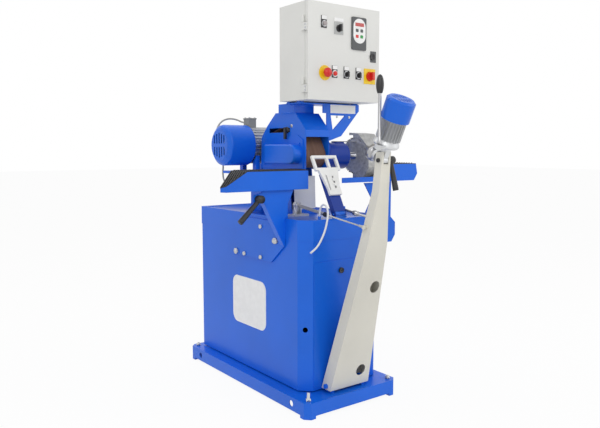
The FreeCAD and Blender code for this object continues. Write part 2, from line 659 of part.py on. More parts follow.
def right_bracket():
    plate = prism("right_side_plate", "yz",
                  [[("-gusset_y", "640"), ("-60", "640"), ("-60", "732"), ("-160", "bracket_high"),
                    ("-gusset_y", "bracket_high")]],
                  RIGHT_SIDE, f"{RIGHT_SIDE} + bracket_sheet")
    top = f"{RIGHT_DECK} - rest_sheet - gap"
    wing = prism("right_wing", "xz",
                 [[(RIGHT_SIDE, "640"), ("425", "640"), ("447", "672"), ("447", "732"),
                   ("417", "760"), ("417", top), ("380", top), ("380", "924"), ("247", "924"), ("295", "850"),
                   (RIGHT_SIDE, "760")]],
                 "-gusset_y", "bracket_sheet - gusset_y")
    rib = box("411", "417", "bracket_sheet - gusset_y", "bracket_sheet - gusset_y + 60", "760",
              "right_rest_low - 8")
    node(join(plate, wing, rib), "right_bracket")


def rest_plan(tip, corner, back, inner, side):
    """Plan of a hand rest whose outer end is cut back diagonally."""
    return [(f"{side}{inner}", "-rest_front"), (f"{side}{tip}", "-rest_front"),
            (f"{side}({tip} + 12)", "26 - rest_front"), (f"{side}{corner}", f"-{back}"),
            (f"{side}{inner}", f"-{back}")]


def left_profile(drop, inset):
    """Front outline of the left rest, its skin lowered by drop and its end drawn in by inset."""
    deck = f"{LEFT_DECK} - {drop}"
    return [(f"{inset} - left_rest_out - 16", "left_rest_low"), (f"-left_rest_in - {inset}", "left_rest_low"),
            (f"-left_rest_in - {inset}", deck), (f"-left_kink", deck),
            (f"{inset} - left_rest_out - 16", f"left_rest_low + left_tip_z - 9 - {drop}")]


def rest_body(name, profile_outer, profile_inner, plan_outer, plan_inner, low, high):
    outer = common(prism(name + "_form", "xz", [profile_outer], "-rest_front - 10", "10 - rest_back"),
                   prism(name + "_plan", "xy", [plan_outer], low, high))
    inner = common(prism(name + "_hollow", "xz", [profile_inner], "-rest_front - 10", "10 - rest_back"),
                   prism(name + "_hollow_plan", "xy", [plan_inner], f"{low} - 5", high))
    return cut(outer, inner)


def inner_profile(corners, low):
    """A profile drawn down so that a hollow runs out through the open underside."""
    return [(a, f"{low} - 5" if b == low else b) for a, b in corners]


def hand_rests():
    low, high = "left_rest_low", f"{LEFT_DECK} + 5"
    outer = rest_body("left_tray", left_profile("0", "0"),
                      inner_profile(left_profile("rest_sheet", "rest_sheet"), low),
                      rest_plan("left_rest_out", "(left_kink + 10)", "rest_back", "left_rest_in", "-"),
                      left_inner_plan(), low, high)
    node(outer, "left_rest")
    right = [("right_deck_in", "right_rest_low"), ("right_rest_out - 18", "right_rest_low"),
             ("right_rest_out + 4", "right_rest_low + 32"),
             ("right_rest_out - 6", RIGHT_DECK), ("right_deck_in", RIGHT_DECK)]
    hollow = [("right_deck_in + rest_sheet", "right_rest_low - 5"),
              ("right_rest_out - 18 - rest_sheet", "right_rest_low - 5"),
              ("right_rest_out + 4 - rest_sheet", "right_rest_low + 32"),
              ("right_rest_out - 6 - rest_sheet", f"{RIGHT_DECK} - rest_sheet"),
              ("right_deck_in + rest_sheet", f"{RIGHT_DECK} - rest_sheet")]
    tray = cut(prism("right_tray", "xz", [right], "-rest_front", "-rest_back"),
               prism("right_tray_hollow", "xz", [hollow], "rest_sheet - rest_front",
                     "-rest_back - rest_sheet"))
    rail = box("right_rest_in", "right_deck_in", "-rest_front", "rest_sheet - rest_front",
               "right_rest_low", "right_rest_low + rail_high")
    node(join(tray, rail), "right_rest")


def left_inner_plan():
    edge = "rest_sheet"
    return [(f"-left_rest_in - {edge}", f"{edge} - rest_front"),
            (f"{edge} - left_rest_out", f"{edge} - rest_front"),
            (f"2 * {edge} - left_rest_out - 12", "26 - rest_front"),
            (f"{edge} - left_kink - 10", f"-rest_back - {edge}"),
            (f"-left_rest_in - {edge}", f"-rest_back - {edge}")]


def ribs(first, last, low, high):
    """Upright walls that cross a rest at the rib angle, one pitch apart."""
    walls = []
    turn = FreeCAD.Rotation(FreeCAD.Vector(0, 0, 1), num("rib_turn"))
    step = num("rib_pitch / sin(rib_turn * 1 deg)")
    reach = num("(rest_front - rest_back) / sin(rib_turn * 1 deg)") + 30
    count = int((last - first) / step)
    wall = Part.makeBox(reach, num("rib_wide"), high - low)
    for i in range(count):
        strip = wall.copy()
        strip.Placement = FreeCAD.Placement(
            FreeCAD.Vector(first + i * step, num("-rest_front") - 8, low), turn)
        walls.append(strip)
    return shaped(Part.makeCompound(walls))


def left_mat():
    plan_of_rest = prism("left_mat_plan", "xy",
                         [rest_plan("left_rest_out", "(left_kink + 10)", "rest_back",
                                    "left_rest_in", "-")], "left_rest_low", f"{LEFT_DECK} + 20")
    start = "left_rest_out + 16"
    foot = "left_rest_low + left_tip_z - 9"

    def band(name, low, high):
        return prism(name, "xz",
                     [[(f"-({start})", f"{foot} + {low}"), ("-left_kink", f"{LEFT_DECK} + {low}"),
                       ("-left_rest_in", f"{LEFT_DECK} + {low}"),
                       ("-left_rest_in", f"{LEFT_DECK} + {high}"),
                       ("-left_kink", f"{LEFT_DECK} + {high}"),
                       (f"-({start})", f"{foot} + {high}")]], "-rest_front - 1", "1 - rest_back")

    pad_skin = common(band("left_mat_skin", "0", "mat_sheet"), plan_of_rest)
    bars = common(common(band("left_mat_bars", "mat_sheet - 0.5", "mat_sheet + rib_high"), plan_of_rest),
                  ribs(num("-left_rest_out") - 150, num("-left_rest_in") - 12,
                       num("left_rest_low"), num(LEFT_DECK) + 20))
    node(join(pad_skin, bars), "left_mat")


def right_mat():
    skin = box("right_deck_in", "right_rest_out - 6", "-rest_front", "-rest_back",
               RIGHT_DECK, f"{RIGHT_DECK} + mat_sheet")
    field = box("right_deck_in", "right_rest_out - 6", "-rest_front", "-rest_back",
                f"{RIGHT_DECK} + mat_sheet - 0.5", f"{RIGHT_DECK} + mat_sheet + rib_high")
    bars = common(field, ribs(num("right_deck_in") - 110, num("right_rest_out") - 10,
                              num(RIGHT_DECK), num(RIGHT_DECK) + 20))
    node(join(skin, bars), "right_mat")


# ---- belt housing and its stand -------------------------------------------------------------

HOUSE = [("-house_front", "house_low"), ("-house_front", "lip_high"), ("-roof_front", "house_top"),
         ("-roof_back", "house_top"), ("back_break_y", "back_break_z"),
         ("back_low_y", "back_low_z"), ("house_back", "house_low")]
HOUSE_IN = [("house_sheet - house_front", "house_low - 5"),
            ("house_sheet - house_front", "lip_high - house_sheet / 2"),
            ("house_sheet / 2 - roof_front", "house_top - house_sheet"),
            ("-roof_back - house_sheet / 2", "house_top - house_sheet"),
            ("back_break_y - house_sheet", "back_break_z - house_sheet"),
            ("back_low_y - house_sheet", "back_low_z - house_sheet / 2"),
            ("house_back - house_sheet", "house_low - 5")]


def drive_guard():
    """The open-bellied guard over the two pulleys, on the housing's right wall."""
    rims = [(num("drum_y"), num("drum_z"), num("drive_guard_r")),
            (num("motor_y"), num("motor_z"), num("drive_guard_r"))]
    start, end = num("house_half"), num("drive_guard_out")
    wall = num("drive_guard_sheet")
    shell = wrap_loop(rims, 0, start, end).cut(wrap_loop(rims, -wall, start - 1, end - wall))
    return shaped(shell)


def belt_housing():
    shell = prism("housing_form", "yz", [HOUSE], "-house_half", "house_half")
    hollow = prism("housing_hollow", "yz", [HOUSE_IN], "house_sheet - house_half",
                   "house_half - house_sheet")
    mouth = box("house_sheet - house_half", "house_half - house_sheet", "-house_front - 1",
                "2 * house_sheet - house_front", "house_low - 1", "lip_low")
    slot = box("-house_half - 1", "house_sheet - house_half + 1", "-slot_front", "slot_back",
               "slot_low", "slot_high")
    left = rod("x", ("wheel_y", "wheel_z"), "spindle_r + 6", "-house_half - 1", "0")
    right = rod("x", ("wheel_y", "wheel_z"), "spindle_r + 6", "0", "house_half + 1")
    drum = rod("x", ("drum_y", "drum_z"), "drum_shaft_r + spindle_fit", "-house_half - 1",
               "house_half + 1")
    idler = rod("x", ("idler_y", "idler_z"), "idler_shaft_r + spindle_fit", "-house_half - 1",
                "house_half + 1")
    node(join(cut(shell, hollow, mouth, slot, left, right, drum, idler), drive_guard()),
         "belt_housing")


def side_cover():
    plate = prism("cover_plate", "yz",
                  [[("cover_edge - house_front", "house_low + 6"),
                    ("cover_edge - house_front", "lip_low - 12"), ("-190", "slot_low - 12"),
                    ("back_low_y - cover_edge", "slot_low - 12 - 30"),
                    ("back_low_y - cover_edge", "house_low + 6")]],
                  "-house_half - 4", "-house_half")
    bulge_z = "wheel_z + 8"
    bulge = new_body("bulge")
    pad(bulge, "yz", [[("wheel_y", f"{bulge_z} - bulge_r"), ("bulge_back", f"{bulge_z} - bulge_r"),
                       ("bulge_back", f"{bulge_z} + bulge_r"), ("wheel_y", f"{bulge_z} + bulge_r")]],
        "-house_half - cover_proud", "-house_half")
    pad(bulge, "yz", [("wheel_y", bulge_z, "bulge_r")], "-house_half - cover_proud", "-house_half")
    face = num("-house_half - cover_proud")
    soften(bulge, "10", lambda edge: abs(edge.BoundBox.XMin - face) < 0.01
           and abs(edge.BoundBox.XMax - face) < 0.01)
    hollow = join(rod("x", ("wheel_y", bulge_z), "bulge_r - 4", "4 - house_half - cover_proud",
                      "-house_half + 1"),
                  box("4 - house_half - cover_proud", "1 - house_half", "wheel_y", "bulge_back - 4",
                      f"{bulge_z} - bulge_r + 4", f"{bulge_z} + bulge_r - 4"))
    screws = [rod("x", spot, "5", "-house_half - 9", "-house_half - 4")
              for spot in (("40 - house_front", "lip_low - 30"), ("back_low_y - 34", "lip_low - 30"),
                           ("back_low_y - 34", "house_low + 22"))]
    bearing = rod("x", ("wheel_y", "wheel_z"), "30", "-house_half - 18", "-house_half - 4")
    bore = rod("x", ("wheel_y", "wheel_z"), "spindle_r + spindle_fit", "-house_half - 30", "1 - house_half")
    node(cut(join(cut(join(plate, bulge), hollow), bearing, *screws), bore), "side_cover")


def bearing_housing():
    flange = rod("x", ("wheel_y", "wheel_z"), "bearing_flange_r", "house_half",
                 "house_half + bearing_flange")
    trimmed = common(flange, box("0", "bearing_out", "-house_front", "0", "house_low", "lip_high"))
    barrel = rod("x", ("wheel_y", "wheel_z"), "bearing_r", "house_half + bearing_flange",
                 "bearing_out - 10")
    nose = rod("x", ("wheel_y", "wheel_z"), "nose_r", "bearing_out - 10", "bearing_out")
    ledge = box("bearing_out - 60", "bearing_out - 10", "wheel_y - 15", "wheel_y + 15",
                "wheel_z + bearing_r - 12", "wheel_z + bearing_r + 2")
    bolts = [rod("x", (f"wheel_y + {a}", f"wheel_z + {b}"), "6", "house_half + bearing_flange",
                 "house_half + bearing_flange + 6") for a, b in ((66, 14), (66, -14), (0, 68))]
    bore = rod("x", ("wheel_y", "wheel_z"), "spindle_r + spindle_fit", "0", "bearing_out + 1")
    node(cut(join(trimmed, barrel, nose, ledge, *bolts), bore), "bearing_housing")


def housing_stand():
    leg = [("-leg_foot_front", BASIN), ("leg_foot_back", BASIN),
           ("leg_top_back", "house_low"), ("-leg_top_front", "house_low")]
    left = prism("left_leg", "yz", [leg], "-house_half", "leg_sheet - house_half")
    right = prism("right_leg", "yz", [leg], "house_half - leg_sheet", "house_half")
    rail = box("-house_half", "house_half", "-cross_front", "-leg_foot_front", BASIN,
               f"{BASIN} + cross_high")
    back = box("-house_half", "house_half", "leg_foot_back - 30", "leg_foot_back - 24", BASIN,
               "house_low - 60")
    return join(left, right, rail, back)


def splash_sheet():
    low = f"{BASIN} + cross_high"
    body = prism("splash_body", "yz",
                 [[("-cross_front + 4", low), ("splash_sheet - cross_front + 4", low),
                   ("splash_sheet - leg_top_front - 30", "house_low - 30"),
                   ("-leg_top_front - 30", "house_low - 30")]],
                 "leg_sheet - house_half + gap", "house_half - leg_sheet - gap")
    node(body, "splash_sheet")


def tension_knob():
    z = "(slot_low + slot_high) / 2"
    y = "-slot_front + 20"
    stem = rod("x", (y, z), "8", "-house_half - 8", "house_sheet - house_half + gap")
    shoe = rod("x", (y, z), "14", "house_sheet - house_half + gap", "house_sheet - house_half + 4")
    washer = rod("x", (y, z), "14", "-house_half - 3", "-house_half - gap")
    lever = box("-house_half - 16", "-house_half - 8", f"{y} - 7", f"{y} + 7", f"{z} - 40", f"{z} + 12")
    node(join(stem, shoe, washer, lever), "tension_lever")


# ---- wheels, abrasive belt and spindle ------------------------------------------------------

def wheel_loop():
    return [(num("wheel_y"), num("wheel_z"), num("wheel_r")),
            (num("idler_y"), num("idler_z"), num("idler_r")),
            (num("drum_y"), num("drum_z"), num("drum_r"))]


def abrasive_belt():
    half = num("belt_wide / 2")
    outer = wrap_loop(wheel_loop(), num("belt_gap + belt_thick"), -half, half)
    inner = wrap_loop(wheel_loop(), num("belt_gap"), -half - 1, half + 1)
    node(shaped(outer.cut(inner)), "abrasive_belt")


def wheels():
    contact = turned("contact_tyre", [("-wheel_wide / 2", "spindle_r"), ("-wheel_wide / 2", "wheel_r"),
                                      ("wheel_wide / 2", "wheel_r"), ("wheel_wide / 2", "spindle_r")])
    node(contact, "contact_wheel", y="wheel_y", z="wheel_z")
    spindle = turned("spindle_form", [
        ("-house_half - 16", "0"), ("-house_half - 16", "spindle_r"), ("brush_in - flange_thick", "spindle_r"),
        ("brush_in - flange_thick", "brush_core_r - 4"), ("brush_in", "brush_core_r - 4"),
        ("brush_in", "brush_bore_r"), ("brush_out", "brush_bore_r"), ("brush_out", "brush_core_r - 4"),
        ("brush_out + flange_thick", "brush_core_r - 4"), ("brush_out + flange_thick", "lock_nut_r"),
        ("brush_out + flange_thick + lock_nut", "lock_nut_r"),
        ("brush_out + flange_thick + lock_nut", "0")])
    node(spindle, "spindle", y="wheel_y", z="wheel_z")
    drum = turned("drum_form", [("-wheel_wide / 2", "0"), ("-wheel_wide / 2", "drum_r"),
                                ("wheel_wide / 2", "drum_r"), ("wheel_wide / 2", "drum_shaft_r"),
                                ("pulley_in", "drum_shaft_r"), *VEE,
                                ("pulley_in + pulley_wide", "0")])
    stub = turned("drum_stub", [("-house_half", "0"), ("-house_half", "drum_shaft_r"),
                                ("-wheel_wide / 2", "drum_shaft_r"), ("-wheel_wide / 2", "0")])
    node(join(drum, stub), "drive_drum", y="drum_y", z="drum_z")
    idler = turned("idler_form", [("-house_half", "0"), ("-house_half", "idler_shaft_r"),
                                  ("-wheel_wide / 2", "idler_shaft_r"), ("-wheel_wide / 2", "idler_r"),
                                  ("wheel_wide / 2", "idler_r"), ("wheel_wide / 2", "idler_shaft_r"),
                                  ("house_half", "idler_shaft_r"), ("house_half", "0")])
    node(idler, "tension_roller", y="idler_y", z="idler_z")


def brush():
    bristles = turned("bristle_ring", [("brush_in", "brush_bore_r"), ("brush_in", "brush_core_r"),
                                       ("brush_in + 6", "brush_r"), ("brush_out - 6", "brush_r"),
                                       ("brush_out", "brush_core_r"), ("brush_out", "brush_bore_r")])
    node(bristles, "brush_bristles", y="wheel_y", z="wheel_z")


def brush_guard():
    outline_out = [("-guard_back", "guard_top"), ("-guard_back - 66", "guard_top - 6"),
                   ("-guard_front", "guard_break_z"), ("-guard_front", "guard_low_z"),
                   ("40 - guard_front", "guard_foot"), ("80 - guard_front", "guard_foot"),
                   ("-guard_back - 7", "guard_foot + 18")]
    s = "guard_sheet"
    outline_in = [("1 - guard_back", f"guard_top - {s}"), ("-guard_back - 66 + 1", f"guard_top - 6 - {s}"),
                  (f"{s} - guard_front", f"guard_break_z - {s} / 2"), (f"{s} - guard_front", "guard_low_z + 1"),
                  ("41 - guard_front", f"guard_foot + {s}"), ("80 - guard_front", f"guard_foot + {s}"),
                  ("2 - guard_back", f"guard_foot + 18 + {s} / 2")]
    form = prism("guard_form", "yz", [outline_out], "guard_in", "guard_out")
    hollow = prism("guard_hollow", "yz", [outline_in], "guard_in + guard_sheet",
                   "guard_out - guard_sheet")
    rear = box("guard_in - 1", "guard_out + 1", "-guard_back - 4", "0", "guard_foot - 20", "guard_top + 20")
    side_rear = box("guard_in - 1", "guard_out + 1", "wheel_y + 6", "0", "guard_foot - 20",
                    "guard_top - 12")
    shell = cut(cut(form, hollow), rear)
    cheek_l = rod("x", ("wheel_y", "wheel_z"), "cheek_r", "guard_in", "guard_in + guard_sheet")
    cheek_r = rod("x", ("wheel_y", "wheel_z"), "cheek_r", "guard_out - guard_sheet", "guard_out")
    sides = cut(join(shell, cheek_l, cheek_r), cut(side_rear, join(
        rod("x", ("wheel_y", "wheel_z"), "cheek_r", "guard_in - 2", "guard_out + 2"),
        box("guard_in + guard_sheet", "guard_out - guard_sheet", "-house_front", "0",
            "guard_foot - 30", "guard_top + 30"))))
    bores = join(rod("x", ("wheel_y", "wheel_z"), "spindle_r + 3", "guard_in - 1", "guard_in + 5"),
                 rod("x", ("wheel_y", "wheel_z"), "lock_nut_r + 8", "guard_out - 5", "guard_out + 1"))
    strap = box("bearing_out - 60", "guard_in", "wheel_y - 15", "wheel_y + 15",
                "wheel_z + bearing_r + 2", "wheel_z + bearing_r + 6")
    node(join(cut(sides, bores), strap), "brush_guard")


# ---- drive motor ----------------------------------------------------------------------------

VEE = [("pulley_in", "pulley_r"), ("pulley_in + 3", "pulley_r"), ("pulley_in + 7", "pulley_r - 9"),
       ("pulley_in + pulley_wide - 7", "pulley_r - 9"), ("pulley_in + pulley_wide - 3", "pulley_r"),
       ("pulley_in + pulley_wide", "pulley_r")]


def drive_motor():
    frame = finned("motor_fins_body", "yz", "motor_r - fin_deep - 8", "motor_r - 8", "motor_fins", "3.4",
                   "-cowl_in", "frame_end")
    collar = rod("x", ("0", "0"), "motor_r - 3", "-cowl_in - 12", "-cowl_in")
    bell = turned("motor_bell", [("frame_end", "0"), ("frame_end", "motor_r - 10"),
                                 ("bell_end - 4", "motor_r - 14"), ("bell_end", "motor_r - 30"),
                                 ("bell_end", "0")])
    bore = turned("motor_bore", [("-cowl_in - 13", "0"), ("-cowl_in - 13", "motor_shaft_r + spindle_fit"),
                                 ("bell_end + 1", "motor_shaft_r + spindle_fit"),
                                 ("bell_end + 1", "0")])
    node(cut(join(frame, collar, bell), bore), "motor_frame", y="motor_y", z="motor_z")
    cowl = turned("cowl_form", [("-cowl_out", "0"), ("-cowl_out", "motor_r - 22"),
                                ("14 - cowl_out", "motor_r - 3"), ("24 - cowl_out", "motor_r"),
                                ("-cowl_in", "motor_r"), ("-cowl_in", "motor_r - 3"),
                                ("24 - cowl_out", "motor_r - 3"), ("16 - cowl_out", "motor_r - 6"),
                                ("3 - cowl_out", "motor_r - 24"), ("3 - cowl_out", "0")])
    slots = []
    for i in range(5):
        y = f"({i} - 2) * 22"
        slots.append(box("-cowl_out - 1", "4 - cowl_out", f"{y} - 5", f"{y} + 5",
                         "8", "58 - abs(" + f"{i} - 2" + ") * 6"))
        slots.append(box("-cowl_out - 1", "4 - cowl_out", f"{y} - 5", f"{y} + 5",
                         "-58 + abs(" + f"{i} - 2" + ") * 6", "-8"))
    node(cut(cowl, *slots), "motor_cowl", y="motor_y", z="motor_z")
    rotor = turned("motor_rotor_form", [
        ("26 - cowl_out", "0"), ("26 - cowl_out", "24"), ("50 - cowl_out", "24"), ("50 - cowl_out", "fan_r"),
        ("54 - cowl_out", "fan_r"), ("54 - cowl_out", "motor_shaft_r"), ("pulley_in", "motor_shaft_r"),
        *VEE, ("pulley_in + pulley_wide", "0")])
    node(rotor, "motor_rotor", y="motor_y", z="motor_z")


def drive_belt():
    pulleys = [(num("drum_y"), num("drum_z"), num("pulley_r - 9")),
               (num("motor_y"), num("motor_z"), num("pulley_r - 9"))]
    low = num("pulley_in + pulley_wide / 2 - 3.6")
    high = num("pulley_in + pulley_wide / 2 + 3.6")
    outer = wrap_loop(pulleys, num("vee_thick + gap"), low, high)
    inner = wrap_loop(pulleys, num("gap"), low - 1, high + 1)
    node(shaped(outer.cut(inner)), "drive_belt")


def terminal_box():
    y, z = "motor_y", "motor_z"
    case = box("-box_out", "-box_in", f"{y} - box_half", f"{y} + box_half",
               f"{z} + motor_r - 12", f"{z} + motor_r + box_high - 6")
    lid = box("-box_out - 2", "2 - box_in", f"{y} - box_half - 2", f"{y} + box_half + 2",
              f"{z} + motor_r + box_high - 6", f"{z} + motor_r + box_high")
    seat = rod("x", (y, z), "motor_r - 7.9", "-box_out - 1", "1 - box_in")
    gland = rod("y", ("-box_out / 2 - box_in / 2", f"{z} + motor_r + box_high / 2 - 4"), "8",
                f"{y} + box_half", f"{y} + box_half + 14")
    node(join(cut(join(case, lid), seat), gland), "terminal_box")


def motor_feet():
    y, z = "motor_y", "motor_z"
    feet = []
    for x in ("-cowl_in + 14", "frame_end - 26"):
        for side in ("-", ""):
            centre = f"{y} {side or '+'} 58" if side else f"{y} + 58"
            feet.append(box(x, f"{x} + 22", f"{centre} - 15", f"{centre} + 15",
                            "stand_top + shelf_thick", f"{z} - 40"))
    return cut(group(*feet), rod("x", (y, z), "motor_r - 7.9", "-cowl_out", "bell_end"))


def motor_stand():
    column = cut(box("-stand_left", "stand_right", "stand_front", "stand_back", BASIN, "stand_top"),
                 box("5 - stand_left", "stand_right - 5", "stand_front + 5", "stand_back - 5",
                     f"{BASIN} - 1", "stand_top"))
    shelf = box("-shelf_left", "stand_right + 6", "stand_front - 4", "shelf_back", "stand_top",
                "stand_top + shelf_thick")
    inlet = rod("y", ("0", "880"), "10", "stand_back", "stand_back + 14")
    return join(column, shelf, inlet)


# ---- control cabinet ------------------------------------------------------------------------

def cabinet_stand():
    plate = prism("stand_plate", "xz",
                  [[("house_half", "house_top"), ("44", "house_top"), ("44", "cab_low - lug"),
                    ("cab_right - 29", "cab_low - lug"), ("cab_right - 29", "cab_low - 33"),
                    ("149", "1136"), ("85", "1116"), ("house_half", "1116")],
                   [("88", "1227"), ("100", "1162"), ("170", "1227")]],
                  "-mast_y", "mast_plate - mast_y")
    mast = cut(box("-house_half", "44", "-mast_front", "-mast_back", "house_top", "cab_low - lug"),
               box("mast_sheet - house_half", "44 - mast_sheet", "mast_sheet - mast_front",
                   "-mast_back - mast_sheet", "house_top - 1", "cab_low - lug - top_flange"))
    flange = box("30 - cab_left", "cab_right - 29", "-mast_y", "-cab_back - 4", "cab_low - lug - top_flange",
                 "cab_low - lug")
    lugs = [box(f"{x} - 12", f"{x} + 12", f"{y} - 10", f"{y} + 10", "cab_low - lug", "cab_low")
            for x in ("44 - cab_left", "cab_right - 45") for y in ("-mast_y + 14", "-cab_back - 18")]
    node(join(plate, mast, flange, *lugs), "cabinet_stand")


def cabinet_body():
    outer = box("-cab_left", "cab_right", "-cab_seam", "-cab_back", "cab_low", "cab_high")
    inner = box("cab_sheet - cab_left", "cab_right - cab_sheet", "-cab_seam - 1",
                "-cab_back - cab_sheet", "cab_low + cab_sheet", "cab_high - cab_sheet")
    knuckles = [rod("z", ("-cab_left - hinge_r", "hinge_r - cab_seam"), "hinge_r",
                    f"{z} + door_gap / 2", f"{z} + 30") for z in ("cab_low + 60", "cab_high - 90")]
    pins = [rod("z", ("-cab_left - hinge_r", "hinge_r - cab_seam"), "hinge_pin_r",
                f"{z} - 28", f"{z} + door_gap / 2") for z in ("cab_low + 60", "cab_high - 90")]
    node(join(cut(outer, inner), *knuckles, *pins), "cabinet_body")


def control_gear():
    plate = box("30 - cab_left", "cab_right - 30", "-cab_back - cab_sheet - 3",
                "-cab_back - cab_sheet", "cab_low + 30", "cab_high - 30")
    inverter = box("60", "180", "-cab_back - 120", "-cab_back - cab_sheet - 3", "1480", "1630")
    contactors = box("-60", "30", "-cab_back - 90", "-cab_back - cab_sheet - 3", "1500", "1590")
    rail = box("60 - cab_left", "cab_right - 60", "-cab_back - 60", "-cab_back - cab_sheet - 3",
               "cab_low + 90", "cab_low + 130")
    node(join(plate, inverter, contactors, rail), "control_gear")


def cabinet_door():
    y = "-cab_seam - door_gap"
    outer = box("door_gap - cab_left", "cab_right", "-cab_front", y, "cab_low", "cab_high")
    inner = box("door_gap - cab_left + cab_sheet", "cab_right - cab_sheet", "cab_sheet - cab_front",
                f"{y} + 1", "cab_low + cab_sheet", "cab_high - cab_sheet")
    leaves = []
    for z in ("cab_low + 60", "cab_high - 90"):
        knuckle = cut(rod("z", ("-cab_left - hinge_r", "hinge_r - cab_seam"), "hinge_r",
                          f"{z} - 30", f"{z} - door_gap / 2"),
                      rod("z", ("-cab_left - hinge_r", "hinge_r - cab_seam"),
                          "hinge_pin_r + pin_fit", f"{z} - 31", f"{z}"))
        strap = box("-cab_left - 2 * hinge_r", "-cab_left - 2 * hinge_r + 2", "-cab_front + 4",
                    "hinge_r - cab_seam", f"{z} - 30", f"{z} - door_gap / 2")
        wing = box("-cab_left - 2 * hinge_r", "door_gap - cab_left", "-cab_front + 4",
                   "-cab_front + 8", f"{z} - 30", f"{z} - door_gap / 2")
        leaves += [knuckle, strap, wing]
    holes = [rod("y", spot, radius, "-cab_front - 1", "cab_sheet - cab_front + 1")
             for spot, radius in DOOR_HOLES]
    node(join(cut(outer, inner, *holes), *leaves), "cabinet_door")


FACE = "-cab_front"
DOOR_HOLES = [(("stop_x", "row_low"), "8"), (("button_x", "row_low"), "button_r - 1"),
              (("selector_x", "row_low"), "6"), (("selector_x + selector_step", "row_low"), "6"),
              (("main_x", "row_low"), "6"), (("cam_x", "cam_z"), "6"), (("lamp_x", "lamp_z"), "6"),
              (("key_x", "key_z"), "8")]


def door_fittings():
    stop_ring = cut(rod("y", ("stop_x", "row_low"), "stop_plate_r", f"{FACE} - plate_thick", FACE),
                    rod("y", ("stop_x", "row_low"), "8 + gap", f"{FACE} - 9", "0"))
    main_plate = cut(box("main_x - main_half", "main_x + main_half", f"{FACE} - plate_thick", FACE,
                 "row_low - main_half", "row_low + main_half"),
             rod("y", ("main_x", "row_low"), "6 + gap", f"{FACE} - 9", "0"))
    cam_plate = cut(box("cam_x - cam_half", "cam_x + cam_half", f"{FACE} - plate_thick", FACE,
                 "cam_z - cam_half", "cam_z + cam_half"),
             rod("y", ("cam_x", "cam_z"), "6 + gap", f"{FACE} - 9", "0"))
    body = new_body("panel_body")
    pad(body, "xz", [[("panel_left", "panel_low"), ("panel_right", "panel_low"),
                      ("panel_right", "panel_high"), ("panel_left", "panel_high")]],
        f"{FACE} - panel_thick", FACE)
    soften(body, "4", along((0, 1, 0)))
    bezels = []
    for x, z in (("selector_x", "row_low"), ("selector_x + selector_step", "row_low"),
                 ("button_x", "row_low")):
        bezels.append(cut(rod("y", (x, z), "selector_r", f"{FACE} - 4", FACE),
                          rod("y", (x, z), "button_r + gap", f"{FACE} - 5", "0")))
    lamp = join(rod("y", ("lamp_x", "lamp_z"), "13", f"{FACE} - 5", FACE),
                rod("y", ("lamp_x", "lamp_z"), "9", f"{FACE} - 12", f"{FACE} - 5"),
                rod("y", ("lamp_x", "lamp_z"), "6 - gap", FACE, "4 - cab_front"))
    node(group(body, stop_ring, main_plate, cam_plate, lamp, *bezels), "door_plates")


def knobs():
    mushroom = turned("mushroom_form", [("0", "0"), ("0", "8 - gap"), ("16 + 4", "8 - gap"),
                                        ("20", "stop_r - 6"), ("22", "stop_r"), ("30", "stop_r - 1"),
                                        ("stop_out + 3", "stop_r - 9"), ("stop_out + 5", "0")],
                      upright=True)
    node(mushroom, "stop_button", "stop_x", "4 - cab_front", "row_low", 90)
    cap = turned("start_form", [("0", "0"), ("0", "button_r - 1 - gap"), ("13", "button_r - 1 - gap"),
                                ("14", "button_r - 2 - gap"), ("14", "0")], upright=True)
    node(cap, "start_button", "button_x", "4 - cab_front", "row_low", 90)
    for i, name in enumerate(("speed_selector", "pump_selector")):
        x = f"selector_x + {i} * selector_step"
        knob = join(rod("y", (x, "row_low"), "6 - gap", f"{FACE} - gap", "4 - cab_front"),
                    rod("y", (x, "row_low"), "button_r", f"{FACE} - 9", f"{FACE} - gap"),
                    box(f"{x} - 3.5", f"{x} + 3.5", f"{FACE} - 20", f"{FACE} - 9",
                        "row_low - button_r", "row_low + button_r"))
        node(knob, name)
    base = turned("main_knob_form", [("0", "0"), ("0", "6 - gap"), ("4 + plate_thick + gap", "6 - gap"),
                                     ("4 + plate_thick + gap", "main_knob_r"),
                                     ("20", "main_knob_r - 3"), ("20", "0")], upright=True)
    grip = box("-6", "6", "4 - main_knob_r", "main_knob_r - 4", "20", "34")
    node(join(base, grip), "main_switch_knob", "main_x", "4 - cab_front", "row_low", 90)
    cam = turned("cam_knob_form", [("0", "0"), ("0", "6 - gap"), ("4 + plate_thick + gap", "6 - gap"),
                                   ("4 + plate_thick + gap", "15"), ("14", "13"), ("14", "0")],
                 upright=True)
    grip = box("-4", "4", "-13", "16", "12", "26")
    node(join(cam, grip), "cam_switch_knob", "cam_x", "4 - cab_front", "cam_z", 90)
    key = join(rod("y", ("key_x", "key_z"), "14", f"{FACE} - 6", f"{FACE} - gap"),
               rod("y", ("key_x", "key_z"), "8 - gap", f"{FACE} - gap", "12 - cab_front"),
               box("key_x - 6", "cab_right - 8", "12 - cab_front", "14 - cab_front",
                   "key_z - 7", "key_z + 7"))
    node(cut(key, box("key_x - 1.5", "key_x + 1.5", f"{FACE} - 7", f"{FACE} - 3", "key_z - 8",
                      "key_z + 8")), "door_lock")


# ---- swing arm and head ---------------------------------------------------------------------

